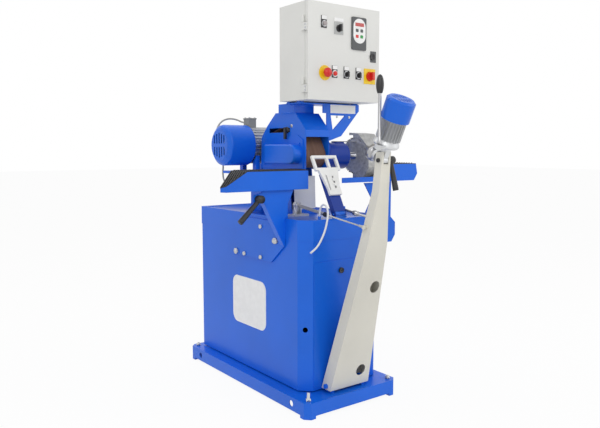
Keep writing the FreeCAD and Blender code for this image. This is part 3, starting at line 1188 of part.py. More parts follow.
def arm_side(shrink, low_extra):
    """Side outline of the arm, drawn in by a wall."""
    s = shrink
    return [(f"{s} - arm_foot_y", f"arm_foot_z - {low_extra}"), (f"{s} - arm_knee_y", "arm_knee_z"),
            (f"{s} - arm_neck_y", "arm_neck_z"), (f"{s} - arm_top_y", f"arm_top_z + {low_extra}"),
            (f"arm_top_deep - arm_top_y - {s}", f"arm_top_z + {low_extra}"),
            (f"arm_neck_deep - arm_neck_y - {s}", "arm_neck_z"),
            (f"arm_knee_deep - arm_knee_y - {s}", "arm_knee_z"),
            (f"arm_foot_deep - arm_foot_y - {s}", f"arm_foot_z - {low_extra}")]


def arm_front(shrink, low_extra):
    """Front outline of the arm, drawn in by a wall."""
    half = [("arm_foot_half", f"arm_foot_z - {low_extra}"), ("arm_knee_half", "arm_knee_z"),
            ("arm_neck_half", "arm_neck_z"), ("arm_top_half", f"arm_top_z + {low_extra}")]
    right = [(f"{x} - {shrink}", z) for x, z in half]
    left = [(f"{shrink} - {x}", z) for x, z in reversed(half)]
    return right + left


def swing_arm():
    reach = ("-arm_top_y - 40", "0")
    outer = common(prism("arm_side_form", "yz", [arm_side("0", "0")], "-arm_foot_half", "arm_foot_half"),
                   prism("arm_front_form", "xz", [arm_front("0", "0")], *reach))
    inner = common(prism("arm_side_hollow", "yz", [arm_side("arm_sheet", "5")], "-arm_foot_half",
                         "arm_foot_half"),
                   prism("arm_front_hollow", "xz", [arm_front("arm_sheet", "5")], *reach))
    holes = [rod("y", ("arm_foot_half / 2 - 6", "arm_foot_z + 67"), "arm_hole_r", "-520", "-440"),
             rod("y", ("arm_knee_half / 2 + 6", "arm_knee_z - 190"), "arm_hole_r", "-640", "-540"),
             rod("x", ("hinge_y", "hinge_z"), "arm_pin_r + pin_fit", "-arm_foot_half - 5",
                 "arm_foot_half + 5"),
             rod("x", ("head_y", "head_z"), "head_pin_r", "-arm_foot_half", "arm_foot_half")]
    back = box("arm_sheet - arm_top_half", "arm_top_half - arm_sheet", "head_y + 10", "head_y + 60",
               "head_z - 42", "arm_top_z + 5")
    notch = box("-tongue_half - 1", "tongue_half + 1", "-arm_top_y - 15", "-arm_top_y + 2 * arm_sheet",
                "head_z - 18", "arm_top_z + 5")
    stud = rod("x", ("strut_end_y", "strut_end_z"), "6", "strut_x + eye_half + gap",
               "4 - arm_knee_half + 14")
    node(join(cut(outer, inner, *holes, back, notch), stud), "swing_arm")


def arm_hinge():
    ears = []
    for low in ("-ear_half", "ear_half - ear_thick"):
        ear = join(box(low, f"{low} + ear_thick", "hinge_y - 18", "hinge_y + 18", "base_top", "hinge_z"),
                   rod("x", ("hinge_y", "hinge_z"), "18", low, f"{low} + ear_thick"))
        ears.append(cut(ear, rod("x", ("hinge_y", "hinge_z"), "arm_pin_r", "-ear_half - 1",
                                 "ear_half + 1")))
    pin = rod("x", ("hinge_y", "hinge_z"), "arm_pin_r", "-arm_foot_half - 8", "arm_foot_half + 8")
    return ears, pin


def head_parts():
    place = ("0", "head_y", "head_z", num("head_tilt"))
    # in the head's own frame: Z along the motor, +Y towards the belt
    tongue = box("-tongue_half", "tongue_half", "-11", "13", "-16", "skirt_low")
    lobe = rod("x", ("0", "0"), "16", "-tongue_half", "tongue_half")
    nose = rod("y", ("0", "2"), "nose_low_r", "30", "nose_reach")
    nose_core = rod("y", ("0", "2"), "tongue_half", "0", "31")
    cone = turned("head_skirt", [("skirt_low", "0"), ("skirt_low", "skirt_r - 4"),
                                 ("skirt_low + 7", "skirt_r"), ("skirt_low + 14", "skirt_r - 2"),
                                 ("skirt_high", "head_body_r - 7"), ("skirt_high", "0")], upright=True)
    cone.Placement = FreeCAD.Placement(FreeCAD.Vector(0, num("head_axis_back"), 0), FreeCAD.Rotation())
    cone.setExpression("Placement.Base.y", bound("head_axis_back"))
    ear = rod("z", ("rod_x", "-16"), "13", "skirt_low", "skirt_low + 18")
    web = box("rod_x", "0", "-22", "-8", "skirt_low", "skirt_low + 14")
    bores = join(rod("x", ("0", "0"), "head_pin_r + pin_fit", "-tongue_half - 1", "tongue_half + 1"),
                 rod("y", ("0", "2"), "blade_spindle_r + spindle_fit", "24", "nose_reach + 1"))
    node(cut(join(tongue, lobe, nose, nose_core, cone, ear, web), bores), "head_gearbox", *place)
    body = finned("head_motor_fins", "xy", "head_body_r - 5", "head_body_r", "head_fins", "3",
                  "skirt_high", "head_body_high")
    collar = rod("z", ("0", "0"), "head_cowl_r - 2", "head_body_high - 6", "head_body_high")
    body_at = node(join(body, collar), "head_motor", *place)
    shift_local(body_at, "head_axis_back")
    cowl = turned("head_cowl_form", [
        ("head_body_high - 6", "head_cowl_r - 2"), ("head_body_high - 6", "head_cowl_r"),
        ("head_cowl_high - 8", "head_cowl_r"), ("head_cowl_high", "head_cowl_r - 9"),
        ("head_cowl_high", "0"), ("head_cowl_high - 3", "0"), ("head_cowl_high - 3", "head_cowl_r - 11"),
        ("head_cowl_high - 10", "head_cowl_r - 2")], upright=True)
    vents = []
    for i in range(5):
        x = f"({i} - 2) * 14"
        vents.append(box(f"{x} - 3", f"{x} + 3", "6", "36 - abs(" + f"{i} - 2" + ") * 5",
                         "head_cowl_high - 5", "head_cowl_high + 1"))
        vents.append(box(f"{x} - 3", f"{x} + 3", "-36 + abs(" + f"{i} - 2" + ") * 5", "-6",
                         "head_cowl_high - 5", "head_cowl_high + 1"))
    shift_local(node(cut(cowl, *vents), "head_cowl", *place), "head_axis_back")
    spindle = turned("blade_spindle_form", [
        ("26", "0"), ("26", "blade_spindle_r"), ("nose_reach + gap", "blade_spindle_r"),
        ("nose_reach + gap", "blade_hub_r - 6"), ("nose_reach + 8", "blade_hub_r"),
        ("nose_reach + blade_hub", "blade_hub_r"), ("nose_reach + blade_hub", "blade_pin_r"),
        ("nose_reach + blade_hub + blade_pin", "blade_pin_r"),
        ("nose_reach + blade_hub + blade_pin", "0")], upright=True)
    hub = node(spindle, "blade_spindle", "0", "head_y", "head_z", num("head_tilt") - 90)
    up = hub.Placement.Rotation.multVec(FreeCAD.Vector(0, 0, 1))
    lift = FreeCAD.Vector(0, -up.z, up.y) * 2
    hub.setExpression("Placement.Base.y", None)
    hub.setExpression("Placement.Base.z", None)
    hub.Placement = FreeCAD.Placement(hub.Placement.Base + lift, hub.Placement.Rotation)
    clamp_lever("head_clamp", "arm_top_half + 2.5", "head_y", "head_z", (1, 0, 0), (0, -20, -116), "112",
                "2 * arm_top_half + 8")
    pull_rod()


def shift_local(obj, along_y):
    """Move a piece of the head along the head's own Y, off the pivot."""
    turn = obj.Placement.Rotation
    obj.setExpression("Placement.Base.y", None)
    obj.setExpression("Placement.Base.z", None)
    offset = turn.multVec(FreeCAD.Vector(0, num(along_y), 0))
    obj.Placement = FreeCAD.Placement(obj.Placement.Base + offset, turn)


def pull_rod():
    """The upright lever on the head's ear, with its oval grip."""
    turn = FreeCAD.Rotation(FreeCAD.Vector(1, 0, 0), num("head_tilt"))
    seat = FreeCAD.Vector(0, num("head_y"), num("head_z")) + turn.multVec(
        FreeCAD.Vector(num("rod_x"), -16, num("skirt_low + 18 + rod_r * tan(head_tilt * 1 deg)")))
    bar = turned("pull_rod_form", [("0", "0"), ("0", "rod_r"), ("rod_top - head_z - 70", "rod_r"),
                                   ("rod_top - head_z - 70", "0")], upright=True)
    grip = turned("pull_grip_form", [
        ("rod_top - head_z - 70", "0"), ("rod_top - head_z - 70", "rod_r + 2"),
        ("rod_top - head_z - 60", "rod_knob_r - 2"), ("rod_top - head_z - 40", "rod_knob_r"),
        ("rod_top - head_z - 20", "rod_knob_r - 2"), ("rod_top - head_z - 4", "rod_r"),
        ("rod_top - head_z", "0")], upright=True)
    lever = group(bar, grip)
    lever.Label = "pull_lever"
    lever.Placement = FreeCAD.Placement(seat + FreeCAD.Vector(num("origin_x"), num("origin_y"), 0),
                                        FreeCAD.Rotation())
    nodes.append(lever)


# ---- gas strut ------------------------------------------------------------------------------

def strut_turn():
    rise = num("strut_end_z - strut_z")
    run = num("strut_end_y - strut_y")
    return math.degrees(math.atan2(-run, rise))


def strut_length():
    return math.hypot(num("strut_end_z - strut_z"), num("strut_end_y - strut_y"))


def gas_strut():
    ears = [box(f"strut_x + {a}", f"strut_x + {b}", "strut_y - 14", "strut_y + 14", f"{BASIN} + 8",
                "strut_z") for a, b in (("-eye_half - 8", "-eye_half - gap"),
                                        ("eye_half + gap", "eye_half + 8"))]
    caps = [rod("x", ("strut_y", "strut_z"), "14", f"strut_x + {a}", f"strut_x + {b}")
            for a, b in (("-eye_half - 8", "-eye_half - gap"), ("eye_half + gap", "eye_half + 8"))]
    base = box("strut_x - 40", "strut_x + 40", "strut_y - 34", "strut_y + 15", BASIN, f"{BASIN} + 8")
    pin = rod("x", ("strut_y", "strut_z"), "strut_pin_r", "strut_x - eye_half - 10",
              "strut_x + eye_half + 10")
    node(join(*ears, *caps, base, pin), "strut_bracket")
    place = ("strut_x", "strut_y", "strut_z", strut_turn())
    eye = cut(rod("x", ("0", "0"), "strut_eye_r", "-eye_half", "eye_half"),
              rod("x", ("0", "0"), "strut_pin_r + pin_fit", "-eye_half - 1", "eye_half + 1"))
    neck = rod("z", ("0", "0"), "tube_bore_r", "strut_eye_r - 2", "strut_eye_r + 9")
    barrel = cut(rod("z", ("0", "0"), "tube_r", "strut_eye_r + 8", "tube_long"),
                 rod("z", ("0", "0"), "tube_bore_r", "strut_eye_r + 14", "tube_long - 6"),
                 rod("z", ("0", "0"), "rod_thin_r + pin_fit", "tube_long - 7", "tube_long + 1"))
    collar = cut(rod("z", ("0", "0"), "tube_r + 2", "tube_long - 20", "tube_long"),
                 rod("z", ("0", "0"), "tube_r", "tube_long - 21", "tube_long + 1"))
    node(join(eye, neck, barrel, collar), "strut_cylinder", *place)
    end = strut_length()
    piston = rod("z", ("0", "0"), "tube_bore_r - pin_fit", "tube_long - 54", "tube_long - 46")
    thin = rod("z", ("0", "0"), "rod_thin_r", "tube_long - 46", str(end - 9))
    socket = rod("z", ("0", "0"), "5", str(end - 26), str(end - 7))
    eye_end = rod("x", ("0", "0"), "strut_eye_r - 2", "-eye_half", "eye_half")
    eye_end.setExpression("Placement.Base.z", str(end))
    node(join(piston, thin, socket, eye_end), "strut_rod", *place)


# ---- knife rest -----------------------------------------------------------------------------

def knife_rest():
    place = ("0", "rest_foot_y", "rest_foot_z", -num("rest_lean"))
    outer = box("-channel_half", "channel_half", "-channel_deep / 2", "channel_deep / 2", "-10",
                "channel_long")
    inner = box("channel_sheet - channel_half", "channel_half - channel_sheet",
                "channel_sheet - channel_deep / 2", "channel_deep", "-11", "channel_long + 1")
    relief = rod("x", ("0", "0"), "15", "channel_sheet - channel_half",
                 "channel_half - channel_sheet")
    bore = rod("x", ("0", "0"), "strut_pin_r + pin_fit", "-channel_half - 1", "channel_half + 1")
    node(cut(outer, inner, relief, bore), "rest_channel", *place)
    front = "-channel_deep / 2 - gap"
    body = new_body("rest_plate_body")
    pad(body, "xz", [[("-frame_half", "frame_low"), ("-plate_shoulder_half", "frame_low"),
                      ("-plate_foot_half", "plate_low + 30"), ("-plate_foot_half", "plate_low"),
                      ("plate_foot_half", "plate_low"), ("plate_foot_half", "plate_low + 40"),
                      ("plate_shoulder_half", "frame_low"), ("frame_half", "frame_low"),
                      ("frame_half", "frame_high"), ("-frame_half", "frame_high")]],
        f"{front} - plate_deep", front)
    pocket(body, "xz", [[("frame_bar - frame_half", "frame_low + frame_bar"),
                         ("divider_x - frame_bar / 2", "frame_low + frame_bar"),
                         ("divider_x - frame_bar / 2", "frame_high - frame_bar"),
                         ("frame_bar - frame_half", "frame_high - frame_bar")],
                        [("divider_x + frame_bar / 2", "frame_low + frame_bar"),
                         ("frame_half - frame_bar", "frame_low + frame_bar"),
                         ("frame_half - frame_bar", "frame_high - frame_bar"),
                         ("divider_x + frame_bar / 2", "frame_high - frame_bar")],
                        [("-plate_foot_half + 7", "plate_low + 22"),
                         ("14 - plate_foot_half", "plate_low + 22"),
                         ("14 - plate_foot_half", "frame_low - 22"),
                         ("-plate_foot_half + 7", "frame_low - 22")],
                        [("6", "plate_low + 30"), ("15", "plate_low + 30"), ("15", "frame_low - 28"),
                         ("6", "frame_low - 28")]],
           f"{front} - plate_deep - 1", front)
    screws = [rod("y", ("10.5", z), "8", f"{front} - plate_deep - 6", f"{front} - plate_deep")
              for z in ("plate_low + 46", "frame_low - 46")]
    node(join(body, *screws), "rest_plate", *place)


def stop_lean():
    """The stop rod points to the operator and a little down."""
    return math.degrees(math.atan2(num("stop_rod_long"), -21))


def stop_rod():
    bar = join(rod("z", ("0", "0"), "stop_rod_r", "-34", "stop_rod_long"),
               hexagon(("0", "0"), "17", "stop_rod_long * 0.45", "stop_rod_long * 0.45 + 8"),
               rod("z", ("0", "0"), "stop_knob_r", "stop_rod_long * 0.45 + 8",
                   "stop_rod_long * 0.45 + 26"))
    node(bar, "stop_rod", "stop_rod_x", "stop_rod_y", "stop_rod_z", stop_lean())


# ---- leads ----------------------------------------------------------------------------------

HOSE_ROUTE = [(-84, -364, 800), (-84, -366, 826), (-85, -384, 850), (-88, -412, 850),
              (-92, -432, 826), (-98, -434, 790), (-108, -432, 748), (-128, -430, 708),
              (-150, -428, 678), (-178, -426, 662)]
CABLE_ROUTE = [(-72, 228.3, 1204), (-74, 252, 1206), (-96, 276, 1222), (-132, 290, 1226),
               (-168, 296, 1212), (-190, 300, 1180), (-196, 302, 1140), (-188, 302, 1096),
               (-170, 300, 1050), (-158, 298, 1004), (-164, 296, 960), (-160, 292, 922),
               (-132, 290, 894), (-90, 288, 882), (-44, 284, 880), (0, 262, 880), (0, 219.3, 880)]


def to_row(points):
    return [(x + num("origin_x"), y + num("origin_y"), z) for x, y, z in points]


def leads():
    for label, route, radius in (("coolant_hose", HOSE_ROUTE, "hose_r"),
                                 ("motor_cable", CABLE_ROUTE, "cable_r")):
        piece = shaped(lead(to_row(route), num(radius)))
        piece.Label = label
        nodes.append(piece)


def build():
    base_frame()
    tank_shell()
    drip_basin()
    front_cover()
    cover_lock()
    coolant_bin()
    coolant_pump()
    left_bracket()
    frame_bolts()
    right_bracket()
    hand_rests()
    left_mat()
    right_mat()
    clamp_lever("rest_clamp", "clamp_x", "-gusset_y - gap", "clamp_z", (0, -1, 0), (-105, 0, -88), "128",
                "16")
    belt_housing()
    side_cover()
    bearing_housing()
    splash_sheet()
    tension_knob()
    abrasive_belt()
    wheels()
    brush()
    brush_guard()
    drive_motor()
    drive_belt()
    terminal_box()
    node(group(housing_stand(), join(motor_stand(), motor_feet())), "works_stand")
    cabinet_stand()
    cabinet_body()
    control_gear()
    cabinet_door()
    door_fittings()
    knobs()
    swing_arm()
    head_parts()
    gas_strut()
    knife_rest()
    stop_rod()
    leads()


def check_and_write():
    doc.recompute()
    for obj in doc.Objects:
        if {"Invalid", "Error"} & set(obj.State):
            raise RuntimeError(f"{obj.Name} ({obj.Label}) failed: {obj.State}")
    os.makedirs("parts", exist_ok=True)
    for obj in nodes:
        shape = obj.Shape
        if shape.isNull() or not shape.isValid() or not shape.Solids:
            raise RuntimeError(f"{obj.Label} has no valid solid")
        shape.exportStep(f"parts/{obj.Label}.step")
    print(len(nodes), "pieces")


build()
check_and_write()
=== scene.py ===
"""Looks for the wet belt grinder and polisher: finishes, leads and small fittings on its frame."""

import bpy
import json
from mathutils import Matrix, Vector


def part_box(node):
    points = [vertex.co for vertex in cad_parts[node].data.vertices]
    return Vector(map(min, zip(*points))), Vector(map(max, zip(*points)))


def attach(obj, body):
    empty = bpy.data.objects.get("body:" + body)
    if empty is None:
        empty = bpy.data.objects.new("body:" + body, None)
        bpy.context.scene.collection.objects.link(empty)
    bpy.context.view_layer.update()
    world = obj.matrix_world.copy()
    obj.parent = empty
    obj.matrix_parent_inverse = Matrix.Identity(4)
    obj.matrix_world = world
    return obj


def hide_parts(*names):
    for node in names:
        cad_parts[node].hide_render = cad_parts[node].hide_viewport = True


bl_info = {
    "name": "Wet knife grinder dressing",
    "version": (1, 0, 0),
    "blender": (4, 5, 0),
    "location": "3D View > Sidebar > Grinder",
    "description": "Finishes, leads, door controls, brush and studio for a wet belt grinder",
    "category": "Object",
}

import json
import math

import bmesh
import bpy
from bpy.props import (
    FloatProperty,
    FloatVectorProperty,
    IntProperty,
    PointerProperty,
)
from mathutils import Matrix, Vector

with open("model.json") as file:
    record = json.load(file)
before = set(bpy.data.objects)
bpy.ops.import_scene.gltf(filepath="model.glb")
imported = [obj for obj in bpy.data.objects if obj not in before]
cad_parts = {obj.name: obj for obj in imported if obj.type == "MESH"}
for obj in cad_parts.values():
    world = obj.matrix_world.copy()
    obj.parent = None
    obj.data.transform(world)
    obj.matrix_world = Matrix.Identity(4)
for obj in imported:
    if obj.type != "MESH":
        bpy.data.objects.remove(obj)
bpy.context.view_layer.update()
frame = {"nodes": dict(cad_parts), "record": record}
RECORD = frame["record"]
BODY_OF = {node: body for body, nodes in RECORD["behaviour"]["bodies"].items() for node in nodes}
SLOT_OF = {part["node"]: part["material_slot"] for part in RECORD["subparts"]}


# ---- settings ------------------------------------------------------------------------------

def colour(name, text, default):
    return FloatVectorProperty(name=name, description=text, subtype="COLOR", size=3, min=0, max=1,
                               default=default)


def length(name, text, default):
    return FloatProperty(name=name, description=text, unit="LENGTH", min=0, default=default)


class FinishColours(bpy.types.PropertyGroup):
    blue: colour("Blue enamel", "Enamel on the tank, brackets and housing", (0.006, 0.138, 0.74))
    deep_blue: colour("Deep blue enamel", "Enamel on the bearing and the knife rest's channel",
                      (0.003, 0.036, 0.30))
    beige: colour("Arm enamel", "Warm white enamel on the swing arm", (0.72, 0.70, 0.62))
    cabinet: colour("Cabinet coat", "Textured powder coat on the control cabinet",
                    (0.76, 0.76, 0.73))
    white: colour("White enamel", "Enamel on the knife rest and splash sheet", (0.84, 0.84, 0.82))
    belt: colour("Abrasive", "Grit on the belt", (0.19, 0.105, 0.075))
    yellow: colour("Signal yellow", "Plates behind the red controls", (0.90, 0.62, 0.01))
    red: colour("Signal red", "Stop button and main switch", (0.70, 0.018, 0.012))


class FittingSizes(bpy.types.PropertyGroup):
    edge: length("Sheet edge", "Radius rolled on the sheet edges", 0.0012)
    grip: length("Lever grip", "Thickness added to the clamping levers", 0.003)
    tuft_radius: length("Tuft radius", "Radius of a bristle tuft at its root", 0.0028)
    tuft_rows: IntProperty(name="Tuft rows", description="Rows of tufts across the brush",
                           default=13, min=2)
    tufts_round: IntProperty(name="Tufts round", description="Tufts in each row", default=96,
                             min=12)
    screw_radius: length("Screw head radius", "Radius of the small pan-head screws", 0.004)
    label_width: length("Button plate width", "Width of the plate under a button", 0.030)
    label_height: length("Button plate height", "Height of the plate under a button", 0.050)


class Studio(bpy.types.PropertyGroup):
    place: FloatVectorProperty(name="Camera place", description="Where the camera stands",
                               subtype="XYZ", unit="LENGTH", size=3,
                               default=(-1.7983, -2.3298, 1.0827))
    heading: FloatProperty(name="Heading", description="Turn from the back direction to the right",
                           subtype="ANGLE", default=0.6398)
    dip: FloatProperty(name="Dip", description="Downward tilt of the camera", subtype="ANGLE",
                       default=0.1010)
    lens: FloatProperty(name="Lens", description="Focal length in millimetres", default=39.03)
    key_power: FloatProperty(name="Key lamp", description="Power of the key lamp", subtype="POWER",
                             default=52.0)
    fill_power: FloatProperty(name="Fill lamp", description="Power of the fill lamp",
                              subtype="POWER", default=26.0)
    sky: FloatProperty(name="Sky", description="Strength of the even sky light", default=0.62)


def settings():
    scene = bpy.context.scene
    return scene.grinder_colours, scene.grinder_sizes, scene.grinder_studio


# ---- shader maths --------------------------------------------------------------------------

MIX_FACTOR, MIX_FIRST, MIX_SECOND, MIX_RESULT = 0, 6, 7, 2    # a Mix node's colour sockets


class Wire:
    """A socket that Python arithmetic works on."""

    def __init__(self, shader, socket):
        self.shader = shader
        self.socket = socket

    def _maths(self, operation, *values):
        return self.shader.add("ShaderNodeMath", {"operation": operation}, *values)

    def __add__(self, other):
        return self._maths("ADD", self, other)

    def __mul__(self, other):
        return self._maths("MULTIPLY", self, other)

    __radd__ = __add__
    __rmul__ = __mul__


class Shader:
    """A material under construction."""

    def __init__(self, name):
        self.material = bpy.data.materials.new(name)
        self.material.use_nodes = True
        self.tree = self.material.node_tree
        self.bsdf = self.tree.nodes["Principled BSDF"]
        self.object_point = self.add("ShaderNodeTexCoord", {}, out="Object")

    def add(self, kind, options, *values, out=0, **named):
        """A node of a type, its settings first, then its sockets by order or by name."""
        node = self.tree.nodes.new(kind)
        for key, value in options.items():
            setattr(node, key, value)
        by_name = [(name.replace("_", " "), value) for name, value in named.items()]
        for key, value in [*enumerate(values), *by_name]:
            if value is not None:
                self.set(node.inputs[key], value)
        return Wire(self, node.outputs[out])

    def set(self, socket, value):
        if isinstance(value, Wire):
            self.tree.links.new(value.socket, socket)
        elif isinstance(value, (tuple, list, Vector)) and len(value) == 3 and socket.type == "RGBA":
            socket.default_value = (*value, 1)
        else:
            socket.default_value = value

    def surface(self, **named):
        for key, value in named.items():
            self.set(self.bsdf.inputs[key.replace("_", " ")], value)
        return self.material

    def noise(self, scale, detail=2.0, roughness=0.5, point=None):
        return self.add("ShaderNodeTexNoise", {}, Vector=point or self.object_point, Scale=scale,
                        Detail=detail, Roughness=roughness)

    def stretched(self, scale):
        """The object point, squeezed along an axis so that noise turns to brush lines."""
        return self.add("ShaderNodeMapping", {}, Vector=self.object_point, Scale=scale)

    def blend(self, factor, first, second):
        node = self.tree.nodes.new("ShaderNodeMix")
        node.data_type = "RGBA"
        self.set(node.inputs[MIX_FACTOR], factor)
        self.set(node.inputs[MIX_FIRST], first)
        self.set(node.inputs[MIX_SECOND], second)
        return Wire(self, node.outputs[MIX_RESULT])

    def ramp(self, value, low, high):
        """A clamped step from 0 at low to 1 at high."""
        return self.add("ShaderNodeMapRange", {"clamp": True}, value, low, high, 0.0, 1.0)

    def bump(self, height, strength, distance):
        return self.add("ShaderNodeBump", {}, Strength=strength, Distance=distance, Height=height)

    def axes(self):
        node = self.tree.nodes.new("ShaderNodeSeparateXYZ")
        self.tree.links.new(self.object_point.socket, node.inputs[0])
        return [Wire(self, output) for output in node.outputs]


def shade(base, factor):
    return tuple(min(1.0, channel * factor) for channel in base)


# ---- finishes ------------------------------------------------------------------------------

def enamel(name, base, gloss=0.30, shine=0.32):
    """Stoved enamel: faint orange peel, slow changes of tone and small dulled patches."""
    s = Shader(name)
    peel = s.noise(420.0, 2.0)
    tone = s.noise(2.2, 3.0)
    wear = s.ramp(s.noise(26.0, 5.0, 0.65), 0.60, 0.78)
    coat = s.blend(s.ramp(tone, 0.35, 0.65), shade(base, 0.93), shade(base, 1.06))
    coat = s.blend(wear * 0.10, coat, shade(base, 1.7))
    return s.surface(Base_Color=coat, Roughness=gloss + 0.10 * tone + 0.12 * wear,
                     Specular_IOR_Level=shine, Coat_Weight=0.06, Coat_Roughness=0.12,
                     Normal=s.bump(peel, 0.10, 0.0006))


def powder(name, base):
    """Textured powder coat with a fine pebbled skin."""
    s = Shader(name)
    pebble = s.noise(900.0, 3.0, 0.6)
    tone = s.noise(3.0, 2.0)
    coat = s.blend(s.ramp(tone, 0.3, 0.7), shade(base, 0.97), shade(base, 1.03))
    return s.surface(Base_Color=coat, Roughness=0.42 + 0.12 * pebble,
                     Normal=s.bump(pebble, 0.25, 0.0004))


def turned_steel(name, base, squeeze=(1.0, 1.0, 1.0), rough=0.26, metal=1.0):
    """Bare steel with the fine lines of a tool or a brush."""
    s = Shader(name)
    lines = s.noise(160.0, 4.0, 0.6, s.stretched(squeeze))
    stain = s.noise(9.0, 3.0)
    tone = s.blend(s.ramp(stain, 0.35, 0.7), shade(base, 0.86), base)
    return s.surface(Base_Color=tone, Metallic=metal, Roughness=rough + 0.16 * lines,
                     Normal=s.bump(lines, 0.08, 0.0005))


def galvanised(name, base):
    """Zinc sheet with spangles of slightly different tone and shine."""
    s = Shader(name)
    spangle = s.add("ShaderNodeTexVoronoi", {}, Vector=s.object_point, Scale=95.0, out="Color")
    grain = s.noise(14.0, 3.0)
    metal = s.blend(s.ramp(spangle * 1.0, 0.1, 0.9), shade(base, 0.80), shade(base, 1.12))
    return s.surface(Base_Color=metal, Metallic=0.2, Roughness=0.34 + 0.10 * grain + 0.08 * spangle,
                     Normal=s.bump(spangle, 0.05, 0.0006))


def cast_aluminium(name, base):
    """Sand-cast aluminium, grainy and a little dull."""
    s = Shader(name)
    grain = s.noise(700.0, 3.0, 0.7)
    cloud = s.noise(18.0, 3.0)
    metal = s.blend(s.ramp(cloud, 0.3, 0.7), shade(base, 0.84), base)
    return s.surface(Base_Color=metal, Metallic=0.85, Roughness=0.40 + 0.16 * grain,
                     Normal=s.bump(grain, 0.35, 0.0006))


def rubber(name, base=(0.022, 0.022, 0.024)):
    """Moulded rubber, matt, with dust caught on it."""
    s = Shader(name)
    grain = s.noise(1100.0, 2.0)
    dust = s.ramp(s.noise(30.0, 5.0, 0.6), 0.55, 0.85)
    skin = s.blend(dust * 0.18, base, (0.20, 0.20, 0.19))
    return s.surface(Base_Color=skin, Roughness=0.62 + 0.2 * dust,
                     Normal=s.bump(grain, 0.2, 0.0004))


def moulded(name, base, rough=0.36):
    """Moulded plastic with a fine eroded skin."""
    s = Shader(name)
    grain = s.noise(1500.0, 2.0)
    handled = s.noise(40.0, 4.0)
    skin = s.blend(s.ramp(handled, 0.35, 0.75), shade(base, 0.96), shade(base, 1.04))
    return s.surface(Base_Color=skin, Roughness=rough + 0.14 * handled,
                     Normal=s.bump(grain, 0.14, 0.0003))


def grit_cloth(name, base):
    """Coated abrasive: dense grit with worn lighter tracks round the belt."""
    s = Shader(name)
    grit = s.add("ShaderNodeTexVoronoi", {}, Vector=s.object_point, Scale=1600.0, out="Distance")
    across = s.axes()[0]
    track = s.noise(30.0, 3.0, 0.6, s.add("ShaderNodeCombineXYZ", {}, across, 0.0, 0.0))
    cloth = s.blend(s.ramp(track, 0.35, 0.7), shade(base, 0.72), shade(base, 1.5))
    cloth = s.blend(s.ramp(grit, 0.2, 0.6) * 0.5, cloth, shade(base, 0.5))
    return s.surface(Base_Color=cloth, Roughness=0.72 + 0.2 * grit,
                     Normal=s.bump(grit, 0.7, 0.0008))


def bristle_fibre(name):
    s = Shader(name)
    strand = s.noise(900.0, 2.0, 0.5, s.stretched((4.0, 1.0, 1.0)))
    fibre = s.blend(strand, (0.010, 0.010, 0.011), (0.055, 0.052, 0.050))
    return s.surface(Base_Color=fibre, Roughness=0.5 + 0.3 * strand)


def jacket(name, base, rough=0.4):
    """A lead's soft jacket with faint draw marks."""
    s = Shader(name)
    mark = s.noise(300.0, 3.0)
    skin = s.blend(s.ramp(mark, 0.3, 0.8), shade(base, 0.9), base)
    return s.surface(Base_Color=skin, Roughness=rough + 0.15 * mark,
                     Normal=s.bump(mark, 0.08, 0.0003))


def lens(name, base):
    """A coloured window or lamp cap."""
    s = Shader(name)
    cloud = s.noise(120.0, 2.0)
    glass = s.blend(cloud, shade(base, 0.8), base)
    return s.surface(Base_Color=glass, Roughness=0.08 + 0.06 * cloud, Coat_Weight=0.6)


FINISHES = {}


def make_finishes():
    c = bpy.context.scene.grinder_colours
    white_metal = (0.66, 0.67, 0.68)
    FINISHES.update({
        "blue": enamel("blue_enamel", c.blue, 0.28),
        "dark_blue": enamel("deep_blue_enamel", c.deep_blue, 0.24, 0.18),
        "beige": enamel("arm_enamel", c.beige, 0.34),
        "white": enamel("white_enamel", c.white, 0.32),
        "grey": enamel("grey_enamel", (0.30, 0.31, 0.32), 0.38),
        "cabinet_grey": powder("cabinet_coat", c.cabinet),
        "stainless": turned_steel("brushed_stainless", (0.62, 0.63, 0.64), (1.0, 12.0, 12.0), 0.24),
        "steel": turned_steel("turned_steel", (0.50, 0.50, 0.51), (14.0, 1.0, 1.0), 0.22),
        "zinc": turned_steel("zinc_plate", white_metal, rough=0.28, metal=0.6),
        "aluminium": cast_aluminium("cast_aluminium", (0.72, 0.73, 0.74)),
        "galvanised": galvanised("galvanised_sheet", (0.44, 0.44, 0.43)),
        "black_rubber": rubber("black_rubber"),
        "black_plastic": moulded("black_plastic", (0.020, 0.020, 0.022)),
        "grey_plastic": moulded("olive_grey_plastic", (0.30, 0.30, 0.26)),
        "pale_plastic": moulded("pale_grey_plastic", (0.50, 0.51, 0.50)),
        "yellow_plastic": moulded("yellow_plastic", c.yellow, 0.30),
        "red_plastic": moulded("red_plastic", c.red, 0.24),
        "white_plastic": jacket("white_hose_jacket", (0.84, 0.85, 0.85), 0.28),
        "cable": jacket("grey_cable_jacket", (0.42, 0.41, 0.37), 0.40),
        "abrasive": grit_cloth("abrasive_belt_cloth", c.belt),
        "bristle": bristle_fibre("bristle_fibre"),
        "blank_plate": moulded("blank_label_film", (0.90, 0.90, 0.89), 0.30),
        "red_window": lens("red_display_window", (0.55, 0.02, 0.015)),
        "green_key": moulded("green_key", (0.02, 0.32, 0.06), 0.3),
        "dark_panel": moulded("dark_panel_film", (0.07, 0.075, 0.08), 0.28),
        "clear_lamp": lens("signal_lamp_cap", (0.35, 0.30, 0.30)),
    })


# ---- building helpers ----------------------------------------------------------------------

def finish_piece(obj, finish, body, replaces=()):
    """Give a built piece its finish and body, and hide the frame's nodes it replaces."""
    obj.data.materials.clear()
    obj.data.materials.append(FINISHES[finish])
    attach(obj, body)
    if replaces:
        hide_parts(*replaces)
    return obj


def as_object(name, mesh):
    obj = bpy.data.objects.new(name, mesh)
    bpy.context.scene.collection.objects.link(obj)
    return obj


